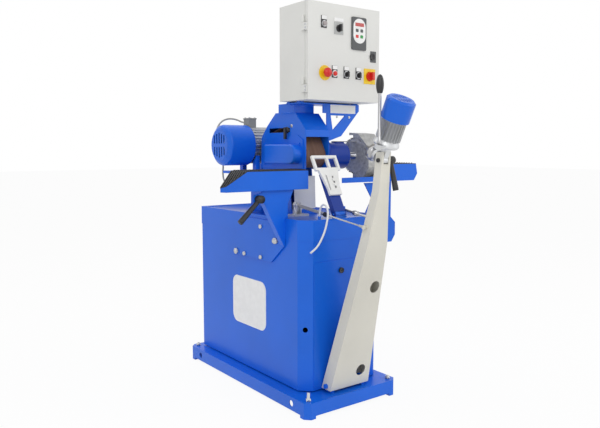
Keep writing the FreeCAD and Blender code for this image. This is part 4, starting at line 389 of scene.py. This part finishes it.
def baked(obj):
    """The object's evaluated form as a plain mesh without modifiers."""
    bpy.context.view_layer.update()
    mesh = bpy.data.meshes.new_from_object(obj.evaluated_get(bpy.context.evaluated_depsgraph_get()))
    old = obj.data
    obj.modifiers.clear()
    obj.data = mesh
    if old.users == 0 and isinstance(old, bpy.types.Mesh):
        bpy.data.meshes.remove(old)
    return obj


def smooth(obj):
    for polygon in obj.data.polygons:
        polygon.use_smooth = True
    return obj


def crisp(obj, angle=32.0):
    """Smooth shading with sharp corners kept."""
    smooth(obj).data.set_sharp_from_angle(angle=math.radians(angle))
    return obj


def rolled(obj, width, angle=38.0):
    """Round the corners sharper than an angle."""
    crisp(obj, angle)
    bevel = obj.modifiers.new("edge", "BEVEL")
    bevel.width = width
    bevel.segments = 2
    bevel.limit_method = "ANGLE"
    bevel.angle_limit = math.radians(angle)
    flats = obj.modifiers.new("flats", "WEIGHTED_NORMAL")
    flats.weight = 100
    return baked(obj)


def fattened(obj, amount):
    """Move every face of a lever outward to the thickness of its moulded grip."""
    grow = obj.modifiers.new("grip", "DISPLACE")
    grow.strength = amount
    grow.mid_level = 0.0
    return baked(crisp(obj))


def slab(bm, low, high):
    """Add a box between two corners."""
    made = bmesh.ops.create_cube(bm, size=1.0)
    for vert in made["verts"]:
        vert.co = Vector((high[i] + low[i]) / 2 + vert.co[i] * (high[i] - low[i])
                         for i in range(3))
    return made["verts"]


def disc(bm, centre, axis, radius, height, sides=48):
    """Add a round boss that stands on a centre and points along an axis."""
    turn = Vector((0, 0, 1)).rotation_difference(Vector(axis)).to_matrix().to_4x4()
    made = bmesh.ops.create_cone(bm, cap_ends=True, segments=sides, radius1=radius,
                                 radius2=radius, depth=height)
    place = Matrix.Translation(Vector(centre)) @ turn @ Matrix.Translation((0, 0, height / 2))
    bmesh.ops.transform(bm, matrix=place, verts=made["verts"])
    return made["verts"]


def rounded_corners(bm, verts, axis, least, radius, segments):
    """Round a slab's edges that run along an axis for at least a length."""
    edges = {edge for vert in verts for edge in vert.link_edges
             if abs(edge.verts[0].co[axis] - edge.verts[1].co[axis]) > least}
    bmesh.ops.bevel(bm, geom=list(edges), offset=radius, segments=segments, profile=0.5,
                    affect="EDGES")


def from_bmesh(name, bm, edge=0.0):
    mesh = bpy.data.meshes.new(name)
    bmesh.ops.recalc_face_normals(bm, faces=bm.faces)
    bm.to_mesh(mesh)
    bm.free()
    obj = as_object(name, mesh)
    return rolled(obj, edge) if edge else crisp(obj)


# ---- the frame's own nodes -----------------------------------------------------------------

# Width of each node's rolled edge, as a share of the sheet edge setting. The doubled width
# has to stay below the sheet's own thickness.
EDGED = {
    "tank_shell": 1.0, "front_cover": 1.0, "base_frame": 1.2, "left_bracket": 1.0,
    "right_bracket": 1.0, "left_rest": 1.0, "right_rest": 1.0, "belt_housing": 0.6,
    "side_cover": 0.8, "works_stand": 1.0, "cabinet_stand": 1.0, "cabinet_body": 0.6,
    "cabinet_door": 0.6, "swing_arm": 1.2, "bearing_housing": 1.0, "rest_channel": 0.8,
    "rest_plate": 0.8, "head_gearbox": 0.8, "main_switch_knob": 1.0, "terminal_box": 1.0,
    "coolant_pump": 1.0, "splash_sheet": 0.3, "speed_selector": 0.6, "pump_selector": 0.6,
    "cam_switch_knob": 0.8, "stop_button": 1.0, "motor_cowl": 0.8, "head_cowl": 0.6,
}
FINISH_OF = {"cover_lock": "black_plastic", "strut_cylinder": "beige", "strut_rod": "beige"}
SEAM = 2e-6                        # corners nearer than this are one corner
FLAT_WITHIN = math.radians(0.6)    # faces at a smaller angle are one flat
GRIPS = {"rest_clamp", "head_clamp"}
REDRAWN = {"coolant_hose", "motor_cable", "brush_bristles", "door_plates", "pull_lever"}


def merged_copy(node):
    """A copy of a node's mesh with its loose triangles joined and, for the nodes in EDGED, its
    flats made whole.
    """
    bm = bmesh.new()
    bm.from_mesh(frame["nodes"][node].data)
    bmesh.ops.remove_doubles(bm, verts=bm.verts, dist=SEAM)
    if node in EDGED:
        bmesh.ops.dissolve_limit(bm, angle_limit=FLAT_WITHIN, verts=bm.verts, edges=bm.edges)
    mesh = bpy.data.meshes.new(node + "_finish")
    bm.to_mesh(mesh)
    bm.free()
    return as_object(node + "_finish", mesh)


def dress_nodes():
    sizes = bpy.context.scene.grinder_sizes
    for node, slot in SLOT_OF.items():
        if node in REDRAWN:
            continue
        obj = merged_copy(node)
        if node in EDGED:
            rolled(obj, sizes.edge * EDGED[node])
        elif node in GRIPS:
            fattened(obj, sizes.grip)
        else:
            crisp(obj)
        finish_piece(obj, FINISH_OF.get(node, slot), BODY_OF[node], [node])


# ---- leads ---------------------------------------------------------------------------------

PART_ZERO = (-39.5, 149.1, 0.0)    # where the drawing's zero lies in the frame, mm


def route(*points):
    """Drawing points in millimetres as places in the frame."""
    return [tuple(round((value + zero) / 1000, 6) for value, zero in zip(point, PART_ZERO))
            for point in points]


HOSE_ROUTE = route(
    (-84, -364, 800), (-84, -366, 826), (-85, -384, 850), (-88, -412, 850), (-92, -432, 826),
    (-98, -434, 790), (-108, -432, 748), (-128, -430, 708), (-150, -428, 678),
    (-178, -426, 662),
)
CABLE_ROUTE = route(
    (-72, 228.3, 1204), (-74, 252, 1206), (-96, 276, 1222), (-132, 290, 1226),
    (-168, 296, 1212), (-190, 300, 1180), (-196, 302, 1140), (-188, 302, 1096),
    (-170, 300, 1050), (-158, 298, 1004), (-164, 296, 960), (-160, 292, 922), (-132, 290, 894),
    (-90, 288, 882), (-44, 284, 880), (0, 262, 880), (0, 219.3, 880),
)


def lead(name, points, diameter, finish, node):
    """A lead on one smooth spline."""
    curve = bpy.data.curves.new(name, "CURVE")
    curve.dimensions = "3D"
    spline = curve.splines.new("NURBS")
    spline.points.add(len(points) - 1)
    for point, place in zip(spline.points, points):
        point.co = (*place, 1)
    spline.order_u = 3
    spline.use_endpoint_u = True
    spline.resolution_u = 12
    curve.bevel_depth = diameter / 2
    curve.bevel_resolution = 6
    curve.use_fill_caps = True
    obj = as_object(name, curve)
    return finish_piece(obj, finish, BODY_OF[node], [node])


# ---- repeats by geometry nodes -------------------------------------------------------------

class Field:
    """A geometry node tree under construction."""

    def __init__(self, name, inputs):
        self.tree = bpy.data.node_groups.new(name, "GeometryNodeTree")
        self.tree.interface.new_socket("Geometry", in_out="INPUT", socket_type="NodeSocketGeometry")
        for label, kind in inputs:
            self.tree.interface.new_socket(label, in_out="INPUT", socket_type=kind)
        self.tree.interface.new_socket("Geometry", in_out="OUTPUT",
                                       socket_type="NodeSocketGeometry")
        self.given = self.tree.nodes.new("NodeGroupInput").outputs

    def add(self, kind, options, **links):
        node = self.tree.nodes.new(kind)
        for key, value in options.items():
            setattr(node, key, value)
        for key, value in links.items():
            self.give(node.inputs[key.replace("_", " ")], value)
        return node

    def give(self, socket, value):
        """Link a socket to another one, or set it to a plain value."""
        if isinstance(value, bpy.types.NodeSocket):
            self.tree.links.new(value, socket)
        else:
            socket.default_value = value

    def times(self, first, second):
        node = self.add("ShaderNodeMath", {"operation": "MULTIPLY"})
        self.give(node.inputs[0], first)
        self.give(node.inputs[1], second)
        return node.outputs[0]

    def random(self, least, most, seed):
        """A number between two limits; sockets 2, 3 and 1 are the float ones of this node."""
        node = self.add("FunctionNodeRandomValue", {"data_type": "FLOAT"}, Seed=seed)
        node.inputs[2].default_value = least
        node.inputs[3].default_value = most
        return node.outputs[1]

    def finish(self, geometry):
        real = self.add("GeometryNodeRealizeInstances", {}, Geometry=geometry)
        painted = self.add("GeometryNodeSetMaterial", {}, Geometry=real.outputs[0],
                           Material=self.given["Material"])
        end = self.tree.nodes.new("NodeGroupOutput")
        self.tree.links.new(painted.outputs[0], end.inputs[0])
        return self.tree

    def apply(self, obj, **values):
        """Run the tree on an object and keep the result as a plain mesh."""
        modifier = obj.modifiers.new("field", "NODES")
        modifier.node_group = self.tree
        for item in self.tree.interface.items_tree:
            if item.in_out == "INPUT" and item.name in values:
                modifier[item.identifier] = values[item.name]
        return baked(obj)


def tuft_field():
    """Cones standing out of a surface, tilted and stretched at random."""
    f = Field("bristle_tufts", [("Material", "NodeSocketMaterial"), ("Radius", "NodeSocketFloat"),
                                ("Reach", "NodeSocketFloat")])
    normal = f.add("GeometryNodeInputNormal", {})
    turn = f.add("FunctionNodeAlignRotationToVector", {"axis": "Z"}, Vector=normal.outputs[0])
    stray = f.add("FunctionNodeRandomValue", {"data_type": "FLOAT_VECTOR"}, Seed=7)
    tilt, spin, tip_share = 0.16, 6.0, 0.45    # radians, radians, of the root's radius
    stray.inputs[0].default_value = (-tilt, -tilt, 0.0)
    stray.inputs[1].default_value = (tilt, tilt, spin)
    loosened = f.add("FunctionNodeRotateRotation", {"rotation_space": "LOCAL"},
                     Rotation=turn.outputs[0], Rotate_By=stray.outputs[0])
    thin = f.times(f.given["Radius"], tip_share)
    cone = f.add("GeometryNodeMeshCone", {"fill_type": "NONE"}, Vertices=6,
                 Radius_Bottom=f.given["Radius"], Radius_Top=thin, Depth=f.given["Reach"])
    size = f.random(0.90, 1.0, seed=11)
    tufts = f.add("GeometryNodeInstanceOnPoints", {}, Points=f.given["Geometry"],
                  Instance=cone.outputs[0], Rotation=loosened.outputs[0], Scale=size)
    both = f.add("GeometryNodeJoinGeometry", {})
    f.tree.links.new(f.given["Geometry"], both.inputs[0])
    f.tree.links.new(tufts.outputs[0], both.inputs[0])
    f.finish(both.outputs[0])
    return f


def screw_field():
    """Pan-head screws with a washer, one at each point, facing along the point's own direction."""
    f = Field("pan_head_screws", [("Material", "NodeSocketMaterial"),
                                  ("Radius", "NodeSocketFloat")])
    facing = f.add("GeometryNodeInputNamedAttribute", {"data_type": "FLOAT_VECTOR"}, Name="facing")
    turn = f.add("FunctionNodeAlignRotationToVector", {"axis": "Z"}, Vector=facing.outputs[0])
    washer = f.add("GeometryNodeMeshCylinder", {}, Vertices=24, Radius=1.4, Depth=0.5)
    head = f.add("GeometryNodeMeshCylinder", {}, Vertices=24, Radius=1.0, Depth=0.8)
    socket = f.add("GeometryNodeMeshCylinder", {}, Vertices=6, Radius=0.5, Depth=0.3)
    lifted = f.add("GeometryNodeTransform", {}, Geometry=head.outputs[0], Translation=(0, 0, 0.55))
    sunk = f.add("GeometryNodeTransform", {}, Geometry=socket.outputs[0], Translation=(0, 0, 0.92))
    whole = f.add("GeometryNodeJoinGeometry", {})
    for part in (washer, lifted, sunk):
        f.tree.links.new(part.outputs[0], whole.inputs[0])
    placed = f.add("GeometryNodeInstanceOnPoints", {}, Points=f.given["Geometry"],
                   Instance=whole.outputs[0], Rotation=turn.outputs[0], Scale=f.given["Radius"])
    f.finish(placed.outputs[0])
    return f


def bead_field():
    """Weld ripples, small drops along an edge."""
    f = Field("weld_ripples", [("Material", "NodeSocketMaterial"), ("Radius", "NodeSocketFloat"),
                               ("Pitch", "NodeSocketFloat")])
    curve = f.add("GeometryNodeMeshToCurve", {}, Mesh=f.given["Geometry"])
    spaced = f.add("GeometryNodeResampleCurve", {"mode": "LENGTH"}, Curve=curve.outputs[0],
                   Length=f.given["Pitch"])
    drop = f.add("GeometryNodeMeshIcoSphere", {}, Radius=1.0, Subdivisions=2)
    scale = f.times(f.given["Radius"], f.random(0.85, 1.1, seed=3))
    placed = f.add("GeometryNodeInstanceOnPoints", {}, Points=spaced.outputs[0],
                   Instance=drop.outputs[0], Scale=scale)
    f.finish(placed.outputs[0])
    return f


def point_cloud(name, spots):
    """A mesh of bare points, each with the direction it faces."""
    mesh = bpy.data.meshes.new(name)
    mesh.from_pydata([place for place, _ in spots], [], [])
    facing = mesh.attributes.new("facing", "FLOAT_VECTOR", "POINT")
    for item, (_, way) in zip(facing.data, spots):
        item.vector = way
    return as_object(name, mesh)


def lathe(bm, profile, centre, sides=40):
    """Add a closed turned form about a vertical line from (height, radius) pairs."""
    angles = [2 * math.pi * i / sides for i in range(sides)]
    rings = [[bm.verts.new((centre[0] + radius * math.cos(angle),
                            centre[1] + radius * math.sin(angle), height))
              for angle in (angles if radius else angles[:1])]
             for height, radius in profile]
    for low, high in zip(rings, rings[1:]):
        for i in range(sides):
            j = (i + 1) % sides
            if len(low) == 1:
                bm.faces.new((low[0], high[j], high[i]))
            elif len(high) == 1:
                bm.faces.new((low[i], low[j], high[0]))
            else:
                bm.faces.new((low[i], low[j], high[j], high[i]))


# ---- operators -----------------------------------------------------------------------------

FLOOR_WHITE = (0.93, 0.93, 0.93)
FLOOR_GLOW = 0.93    # how far the floor is lifted to the white of the background
LAMP_AIM = Vector((0.0, 0.0, 0.9))


class StageOperator(bpy.types.Operator):
    """Set the floor, the soft lamps and the camera"""

    bl_idname = "grinder.stage"
    bl_label = "Studio"

    def execute(self, context):
        scene = context.scene
        studio = scene.grinder_studio
        scene.view_settings.view_transform = "Standard"
        bm = bmesh.new()
        bmesh.ops.create_grid(bm, x_segments=1, y_segments=1, size=30.0)
        floor = from_bmesh("floor", bm)
        floor.data.materials.append(self.floor_material())
        self.world(scene, studio.sky)
        self.lamp("key", (-2.6, -3.4, 3.4), studio.key_power, 2.6)
        self.lamp("fill", (2.8, -2.6, 2.6), studio.fill_power, 3.0)
        self.lamp("top", (-0.4, 1.4, 3.8), studio.fill_power, 2.6)
        camera = bpy.data.cameras.new("camera")
        camera.lens = studio.lens
        camera.sensor_width = 36.0
        camera.clip_end = 100.0
        view = bpy.data.objects.new("camera", camera)
        scene.collection.objects.link(view)
        view.location = studio.place
        view.rotation_euler = (math.pi / 2 - studio.dip, 0.0, -studio.heading)
        scene.camera = view
        return {"FINISHED"}

    @staticmethod
    def seen_directly(tree):
        """A mask of camera, mirror and glass rays."""
        path = tree.nodes.new("ShaderNodeLightPath")
        total = path.outputs["Is Camera Ray"]
        for name in ("Is Glossy Ray", "Is Transmission Ray"):
            add = tree.nodes.new("ShaderNodeMath")
            add.operation = "MAXIMUM"
            tree.links.new(total, add.inputs[0])
            tree.links.new(path.outputs[name], add.inputs[1])
            total = add.outputs[0]
        return total

    def floor_material(self):
        material = bpy.data.materials.new("studio_floor")
        material.use_nodes = True
        tree = material.node_tree
        diffuse = tree.nodes["Principled BSDF"]
        diffuse.inputs["Base Color"].default_value = (*FLOOR_WHITE, 1)
        diffuse.inputs["Roughness"].default_value = 0.9
        glow = tree.nodes.new("ShaderNodeEmission")
        mix = tree.nodes.new("ShaderNodeMixShader")
        share = tree.nodes.new("ShaderNodeMath")
        share.operation = "MULTIPLY"
        share.inputs[1].default_value = FLOOR_GLOW
        tree.links.new(self.seen_directly(tree), share.inputs[0])
        tree.links.new(share.outputs[0], mix.inputs[0])
        tree.links.new(diffuse.outputs[0], mix.inputs[1])
        tree.links.new(glow.outputs[0], mix.inputs[2])
        tree.links.new(mix.outputs[0], tree.nodes["Material Output"].inputs[0])
        return material

    def world(self, scene, strength):
        world = bpy.data.worlds.new("studio")
        world.use_nodes = True
        tree = world.node_tree
        sky = tree.nodes["Background"]
        sky.inputs[0].default_value = (1, 1, 1, 1)
        sky.inputs[1].default_value = strength
        white = tree.nodes.new("ShaderNodeBackground")
        white.inputs[0].default_value = (1, 1, 1, 1)
        mix = tree.nodes.new("ShaderNodeMixShader")
        tree.links.new(self.seen_directly(tree), mix.inputs[0])
        tree.links.new(sky.outputs[0], mix.inputs[1])
        tree.links.new(white.outputs[0], mix.inputs[2])
        tree.links.new(mix.outputs[0], tree.nodes["World Output"].inputs[0])
        scene.world = world

    def lamp(self, name, place, power, size):
        light = bpy.data.lights.new(name, "AREA")
        light.energy = power
        light.size = size
        obj = bpy.data.objects.new(name, light)
        bpy.context.scene.collection.objects.link(obj)
        obj.location = place
        aim = LAMP_AIM - Vector(place)
        obj.rotation_euler = aim.to_track_quat("-Z", "Y").to_euler()


class LeadsOperator(bpy.types.Operator):
    """Lay the coolant hose and the motor cable"""

    bl_idname = "grinder.leads"
    bl_label = "Leads"

    def execute(self, context):
        hose = lead("coolant_hose_tube", HOSE_ROUTE, 0.0084, "white_plastic", "coolant_hose")
        cable = lead("motor_cable_jacket", CABLE_ROUTE, 0.008, "cable", "motor_cable")
        return {"FINISHED"}


class FinishOperator(bpy.types.Operator):
    """Make the finishes and give each piece of the frame its own"""

    bl_idname = "grinder.finishes"
    bl_label = "Finishes"

    def execute(self, context):
        make_finishes()
        dress_nodes()
        return {"FINISHED"}


class BrushOperator(bpy.types.Operator):
    """Pack the round brush with bristle tufts"""

    bl_idname = "grinder.brush"
    bl_label = "Round brush"

    def execute(self, context):
        sizes = context.scene.grinder_sizes
        low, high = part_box("brush_bristles")
        middle = (low + high) / 2
        outer = (high.z - low.z) / 2
        core_share, row_share, clear = 0.80, 0.93, 0.0008
        core = outer * core_share
        half = (high.x - low.x) / 2
        bm = bmesh.new()
        rows = sizes.tuft_rows
        rings = []
        for row in range(rows):
            x = middle.x - half * row_share + 2 * half * row_share * row / (rows - 1)
            shift = 0.5 * (row % 2)
            rings.append([bm.verts.new((x, middle.y + core * math.cos(angle),
                                        middle.z + core * math.sin(angle)))
                          for angle in (2 * math.pi * (i + shift) / sizes.tufts_round
                                        for i in range(sizes.tufts_round))])
        for first, second in zip(rings, rings[1:]):
            for i in range(sizes.tufts_round):
                j = (i + 1) % sizes.tufts_round
                bm.faces.new((first[i], first[j], second[j], second[i]))
        for ring in (rings[0], rings[-1]):
            bm.faces.new(ring)
        brush = from_bmesh("brush_tufts", bm)
        tuft_field().apply(brush, Material=FINISHES["bristle"], Radius=sizes.tuft_radius,
                           Reach=outer - core - clear)
        finish_piece(smooth(brush), "bristle", BODY_OF["brush_bristles"],
                     ["brush_bristles"])
        return {"FINISHED"}


class DoorOperator(bpy.types.Operator):
    """Fit the plates, keys, lamp and windows on the cabinet door"""

    bl_idname = "grinder.door"
    bl_label = "Door controls"

    def execute(self, context):
        sizes = context.scene.grinder_sizes
        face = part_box("cabinet_door")[0].y
        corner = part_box("cabinet_body")[1]
        centre = {name: sum(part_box(name), Vector()) / 2 for name in (
            "stop_button", "start_button", "speed_selector", "pump_selector",
            "main_switch_knob", "cam_switch_knob", "door_lock")}
        body = BODY_OF["cabinet_door"]

        def plate(name, finish, spots, thick, edge=0.0008, replaces=()):
            bm = bmesh.new()
            for x, z, wide, high in spots:
                slab(bm, (x - wide / 2, face - thick, z - high / 2),
                     (x + wide / 2, face, z + high / 2))
            finish_piece(from_bmesh(name, bm, edge), finish, body, replaces)

        def boss(name, finish, spots, edge=0.0006):
            bm = bmesh.new()
            for x, z, radius, start, end in spots:
                disc(bm, (x, face - start, z), (0, -1, 0), radius, end - start)
            finish_piece(from_bmesh(name, bm, edge), finish, body)

        stop, start = centre["stop_button"], centre["start_button"]
        left, right = centre["speed_selector"], centre["pump_selector"]
        main, cam = centre["main_switch_knob"], centre["cam_switch_knob"]
        lock = centre["door_lock"]
        switch_thick, plate_thick, label_thick, lock_thick = 0.0025, 0.0022, 0.0030, 0.0012
        bezel_top, ring_top, cap_top = 0.0046, 0.006, 0.0125    # heights above the door
        boss("stop_disc", "yellow_plastic", [(stop.x, stop.z, 0.031, 0.0, switch_thick)])
        plate("main_switch_plate", "yellow_plastic", [(main.x, main.z, 0.066, 0.066)], switch_thick,
              replaces=["door_plates"])
        plate("cam_switch_plate", "pale_plastic", [(cam.x, cam.z, 0.050, 0.050)], switch_thick)
        lamp = Vector((corner.x - 0.315, face, corner.z - 0.087))
        wide, tall = sizes.label_width, sizes.label_height
        row = (lamp, start, left, right)
        plate("button_plates", "black_plastic", [(p.x, p.z + 0.008, wide, tall) for p in row],
              plate_thick)
        plate("button_labels", "blank_plate",
              [(p.x + 0.001, p.z + 0.025, wide - 0.004, 0.3 * tall) for p in row]
              + [(cam.x, cam.z + 0.035, 0.050, 0.015)], label_thick, 0.0004)
        plate("lock_plate", "dark_panel", [(lock.x - 0.004, lock.z, 0.034, 0.048)], lock_thick,
              0.0004)
        boss("button_bezels", "zinc",
             [(p.x, p.z, 0.0145, plate_thick, bezel_top) for p in (start, left, right)])
        boss("lamp_ring", "zinc", [(lamp.x, lamp.z, 0.013, plate_thick, ring_top)])
        boss("lamp_cap", "clear_lamp", [(lamp.x, lamp.z, 0.0095, ring_top, cap_top)], 0.002)
        self.display(face, corner.x - 0.123, corner.z - 0.110, body)
        return {"FINISHED"}

    def display(self, face, x, z, body):
        """The control display: a dark plate, a pale field, a red window and four keys."""

        def rounded(name, finish, spots, low, high, radius):
            bm = bmesh.new()
            for cx, cz, wide, tall in spots:
                verts = slab(bm, (cx - wide / 2, face - high, cz - tall / 2),
                             (cx + wide / 2, face - low, cz + tall / 2))
                rounded_corners(bm, verts, 1, 0.5 * (high - low), radius, 8)
            finish_piece(from_bmesh(name, bm, 0.0004), finish, body)

        back, field, window, key = 0.006, 0.0066, 0.0072, 0.0078    # heights above the door
        aside, wide, tall = 0.013, 0.015, 0.013                     # the keys' offset and size
        rounded("display_body", "dark_panel", [(x, z, 0.082, 0.138)], 0.0, back, 0.006)
        rounded("display_field", "blank_plate", [(x + 0.001, z + 0.011, 0.070, 0.104)],
                back, field, 0.0335)
        rounded("display_window", "red_window", [(x + 0.001, z + 0.038, 0.050, 0.015)],
                field, window, 0.001)
        for name, finish, sides, up in (("grey_keys", "dark_panel", (-aside, aside), 0.013),
                                        ("red_key", "red_plastic", (-aside,), -0.012),
                                        ("green_key", "green_key", (aside,), -0.012)):
            rounded(name, finish, [(x + side, z + up, wide, tall) for side in sides],
                    field, key, 0.003)


class LeverOperator(bpy.types.Operator):
    """Turn the upright pull lever and its oval grip"""

    bl_idname = "grinder.lever"
    bl_label = "Pull lever"

    def execute(self, context):
        low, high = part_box("pull_lever")
        x, y = (low.x + high.x) / 2, (low.y + high.y) / 2
        grip_long, grip_radius, rod_radius, nut_radius = 0.070, 0.0147, 0.0062, 0.007
        neck = high.z - grip_long
        bm = bmesh.new()
        lathe(bm, [(low.z, 0.0), (low.z, nut_radius), (low.z + 0.014, nut_radius),
                   (low.z + 0.016, rod_radius), (neck + 0.002, rod_radius), (neck + 0.002, 0.0)],
              (x, y))
        finish_piece(from_bmesh("pull_rod", bm), "steel", BODY_OF["pull_lever"],
                     ["pull_lever"])
        bm = bmesh.new()
        steps = 14
        swell = [(neck + grip_long * i / steps,
                  grip_radius * math.sin(math.pi * (0.10 + 0.90 * i / steps)) ** 0.42)
                 for i in range(1, steps)]
        lathe(bm, [(neck, 0.0), (neck, 0.009), *swell, (high.z, 0.0)], (x, y))
        finish_piece(from_bmesh("pull_grip", bm), "black_plastic", BODY_OF["pull_lever"])
        return {"FINISHED"}


class StrutOperator(bpy.types.Operator):
    """Slip a dark ring over the end of the strut's barrel"""

    bl_idname = "grinder.strut"
    bl_label = "Strut ring"

    def execute(self, context):
        joints = {joint["name"]: joint for joint in RECORD["behaviour"]["joints"]}
        pivot = Vector(joints["strut_pivot"]["pos_m"])
        along = Vector(joints["strut_stroke"]["axis"])
        low, high = 0.1945, 0.2155    # along the barrel, from its pivot
        inner, outer, rod_hole = 0.0092, 0.0102, 0.0035
        bm = bmesh.new()
        lathe(bm, [(low, inner), (low, outer), (high, outer), (high, rod_hole)], (0, 0))
        turn = along.to_track_quat("Z", "X").to_matrix().to_4x4()
        bm.transform(Matrix.Translation(pivot) @ turn)
        finish_piece(from_bmesh("strut_ring", bm), "black_plastic", BODY_OF["strut_cylinder"])
        return {"FINISHED"}


class PlateOperator(bpy.types.Operator):
    """Fix the blank plates on the tank and the cabinet stand"""

    bl_idname = "grinder.plates"
    bl_label = "Blank plates"

    def execute(self, context):
        shell_low, shell_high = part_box("tank_shell")
        thick, inset, corner = 0.0012, 0.002, 0.040
        bottom, top = 0.268, 0.490
        wall = shell_low.x + inset
        middle = (shell_low.y + shell_high.y) / 2
        bm = bmesh.new()
        verts = slab(bm, (wall - thick, middle - 0.150, bottom), (wall, middle + 0.130, top))
        rounded_corners(bm, verts, 0, 0.001, corner, 12)
        finish_piece(from_bmesh("tank_label", bm), "blank_plate", "base")
        stand_low, stand_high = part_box("cabinet_stand")
        bm = bmesh.new()
        slab(bm, (stand_high.x - 0.169, stand_low.y - thick, stand_high.z - 0.046),
             (stand_high.x - 0.023, stand_low.y, stand_high.z - 0.009))
        finish_piece(from_bmesh("stand_label", bm, 0.0004), "blank_plate", "base")
        return {"FINISHED"}


class ScrewOperator(bpy.types.Operator):
    """Put the small screws in the covers and the terminal box"""

    bl_idname = "grinder.screws"
    bl_label = "Small screws"

    def execute(self, context):
        radius = context.scene.grinder_sizes.screw_radius
        field = screw_field()
        for body, spots in self.spots().items():
            cloud = point_cloud("screws_" + body, spots)
            field.apply(cloud, Material=FINISHES["zinc"], Radius=radius)
            crisp(cloud)
            finish_piece(cloud, "zinc", body)
        return {"FINISHED"}

    @staticmethod
    def spots():
        ahead, left, up = Vector((0, -1, 0)), Vector((-1, 0, 0)), Vector((0, 0, 1))
        low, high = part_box("terminal_box")
        base = [(Vector((x, y, high.z)), up) for x in (low.x + 0.007, high.x - 0.007)
                 for y in (low.y + 0.007, high.y - 0.021)]
        low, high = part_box("cabinet_stand")
        base += [(Vector((high.x - d, low.y, high.z - 0.062)), ahead) for d in (0.060, 0.130)]
        low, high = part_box("cabinet_door")
        door = [(Vector((low.x + 0.0035, low.y + 0.006, z)), left)
                for z in (low.z + 0.038, low.z + 0.052, high.z - 0.112, high.z - 0.098)]
        return {"base": base, "door": door}


class WeldOperator(bpy.types.Operator):
    """Run weld ripples along the bracket and stand seams"""

    bl_idname = "grinder.welds"
    bl_label = "Weld seams"

    def execute(self, context):
        low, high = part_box("left_bracket")
        stand_low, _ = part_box("cabinet_stand")
        housing_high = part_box("belt_housing")[1]
        gusset = (high.x - 0.0880, low.y + 0.0065)
        mast = stand_low.x + 0.002
        seams = [
            [(*gusset, 0.676), (*gusset, 0.770)],
            [(mast, low.y + 0.115, housing_high.z), (mast, low.y + 0.230, housing_high.z)],
        ]
        field = bead_field()
        mesh = bpy.data.meshes.new("seams")
        points = [Vector(p) for seam in seams for p in seam]
        mesh.from_pydata(points, [(2 * i, 2 * i + 1) for i in range(len(seams))], [])
        beads = as_object("weld_beads", mesh)
        bead, pitch = 0.0022, 0.0016
        field.apply(beads, Material=FINISHES["blue"], Radius=bead, Pitch=pitch)
        finish_piece(smooth(beads), "blue", "base")
        return {"FINISHED"}


class GrinderPanel(bpy.types.Panel):
    """Lists the pieces that dress the grinder"""

    bl_idname = "VIEW3D_PT_grinder"
    bl_label = "Grinder"
    bl_space_type = "VIEW_3D"
    bl_region_type = "UI"
    bl_category = "Grinder"

    def draw(self, context):
        for operator in STEPS:
            self.layout.operator(operator.bl_idname)
        for group in settings():
            box = self.layout.box()
            for name in group.__annotations__:
                box.prop(group, name)


STEPS = (StageOperator, FinishOperator, LeadsOperator, BrushOperator, DoorOperator, LeverOperator,
         StrutOperator, PlateOperator, ScrewOperator, WeldOperator)
GROUPS = {"grinder_colours": FinishColours, "grinder_sizes": FittingSizes, "grinder_studio": Studio}


def register():
    for cls in (*GROUPS.values(), *STEPS, GrinderPanel):
        bpy.utils.register_class(cls)
    for name, cls in GROUPS.items():
        setattr(bpy.types.Scene, name, PointerProperty(type=cls))


def unregister():
    for name in GROUPS:
        delattr(bpy.types.Scene, name)
    for cls in (GrinderPanel, *reversed(STEPS), *reversed(GROUPS.values())):
        bpy.utils.unregister_class(cls)


def main():
    register()
    for operator in STEPS:
        group, name = operator.bl_idname.split(".")
        getattr(getattr(bpy.ops, group), name)()
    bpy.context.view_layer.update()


if __name__ == "__main__":
    main()
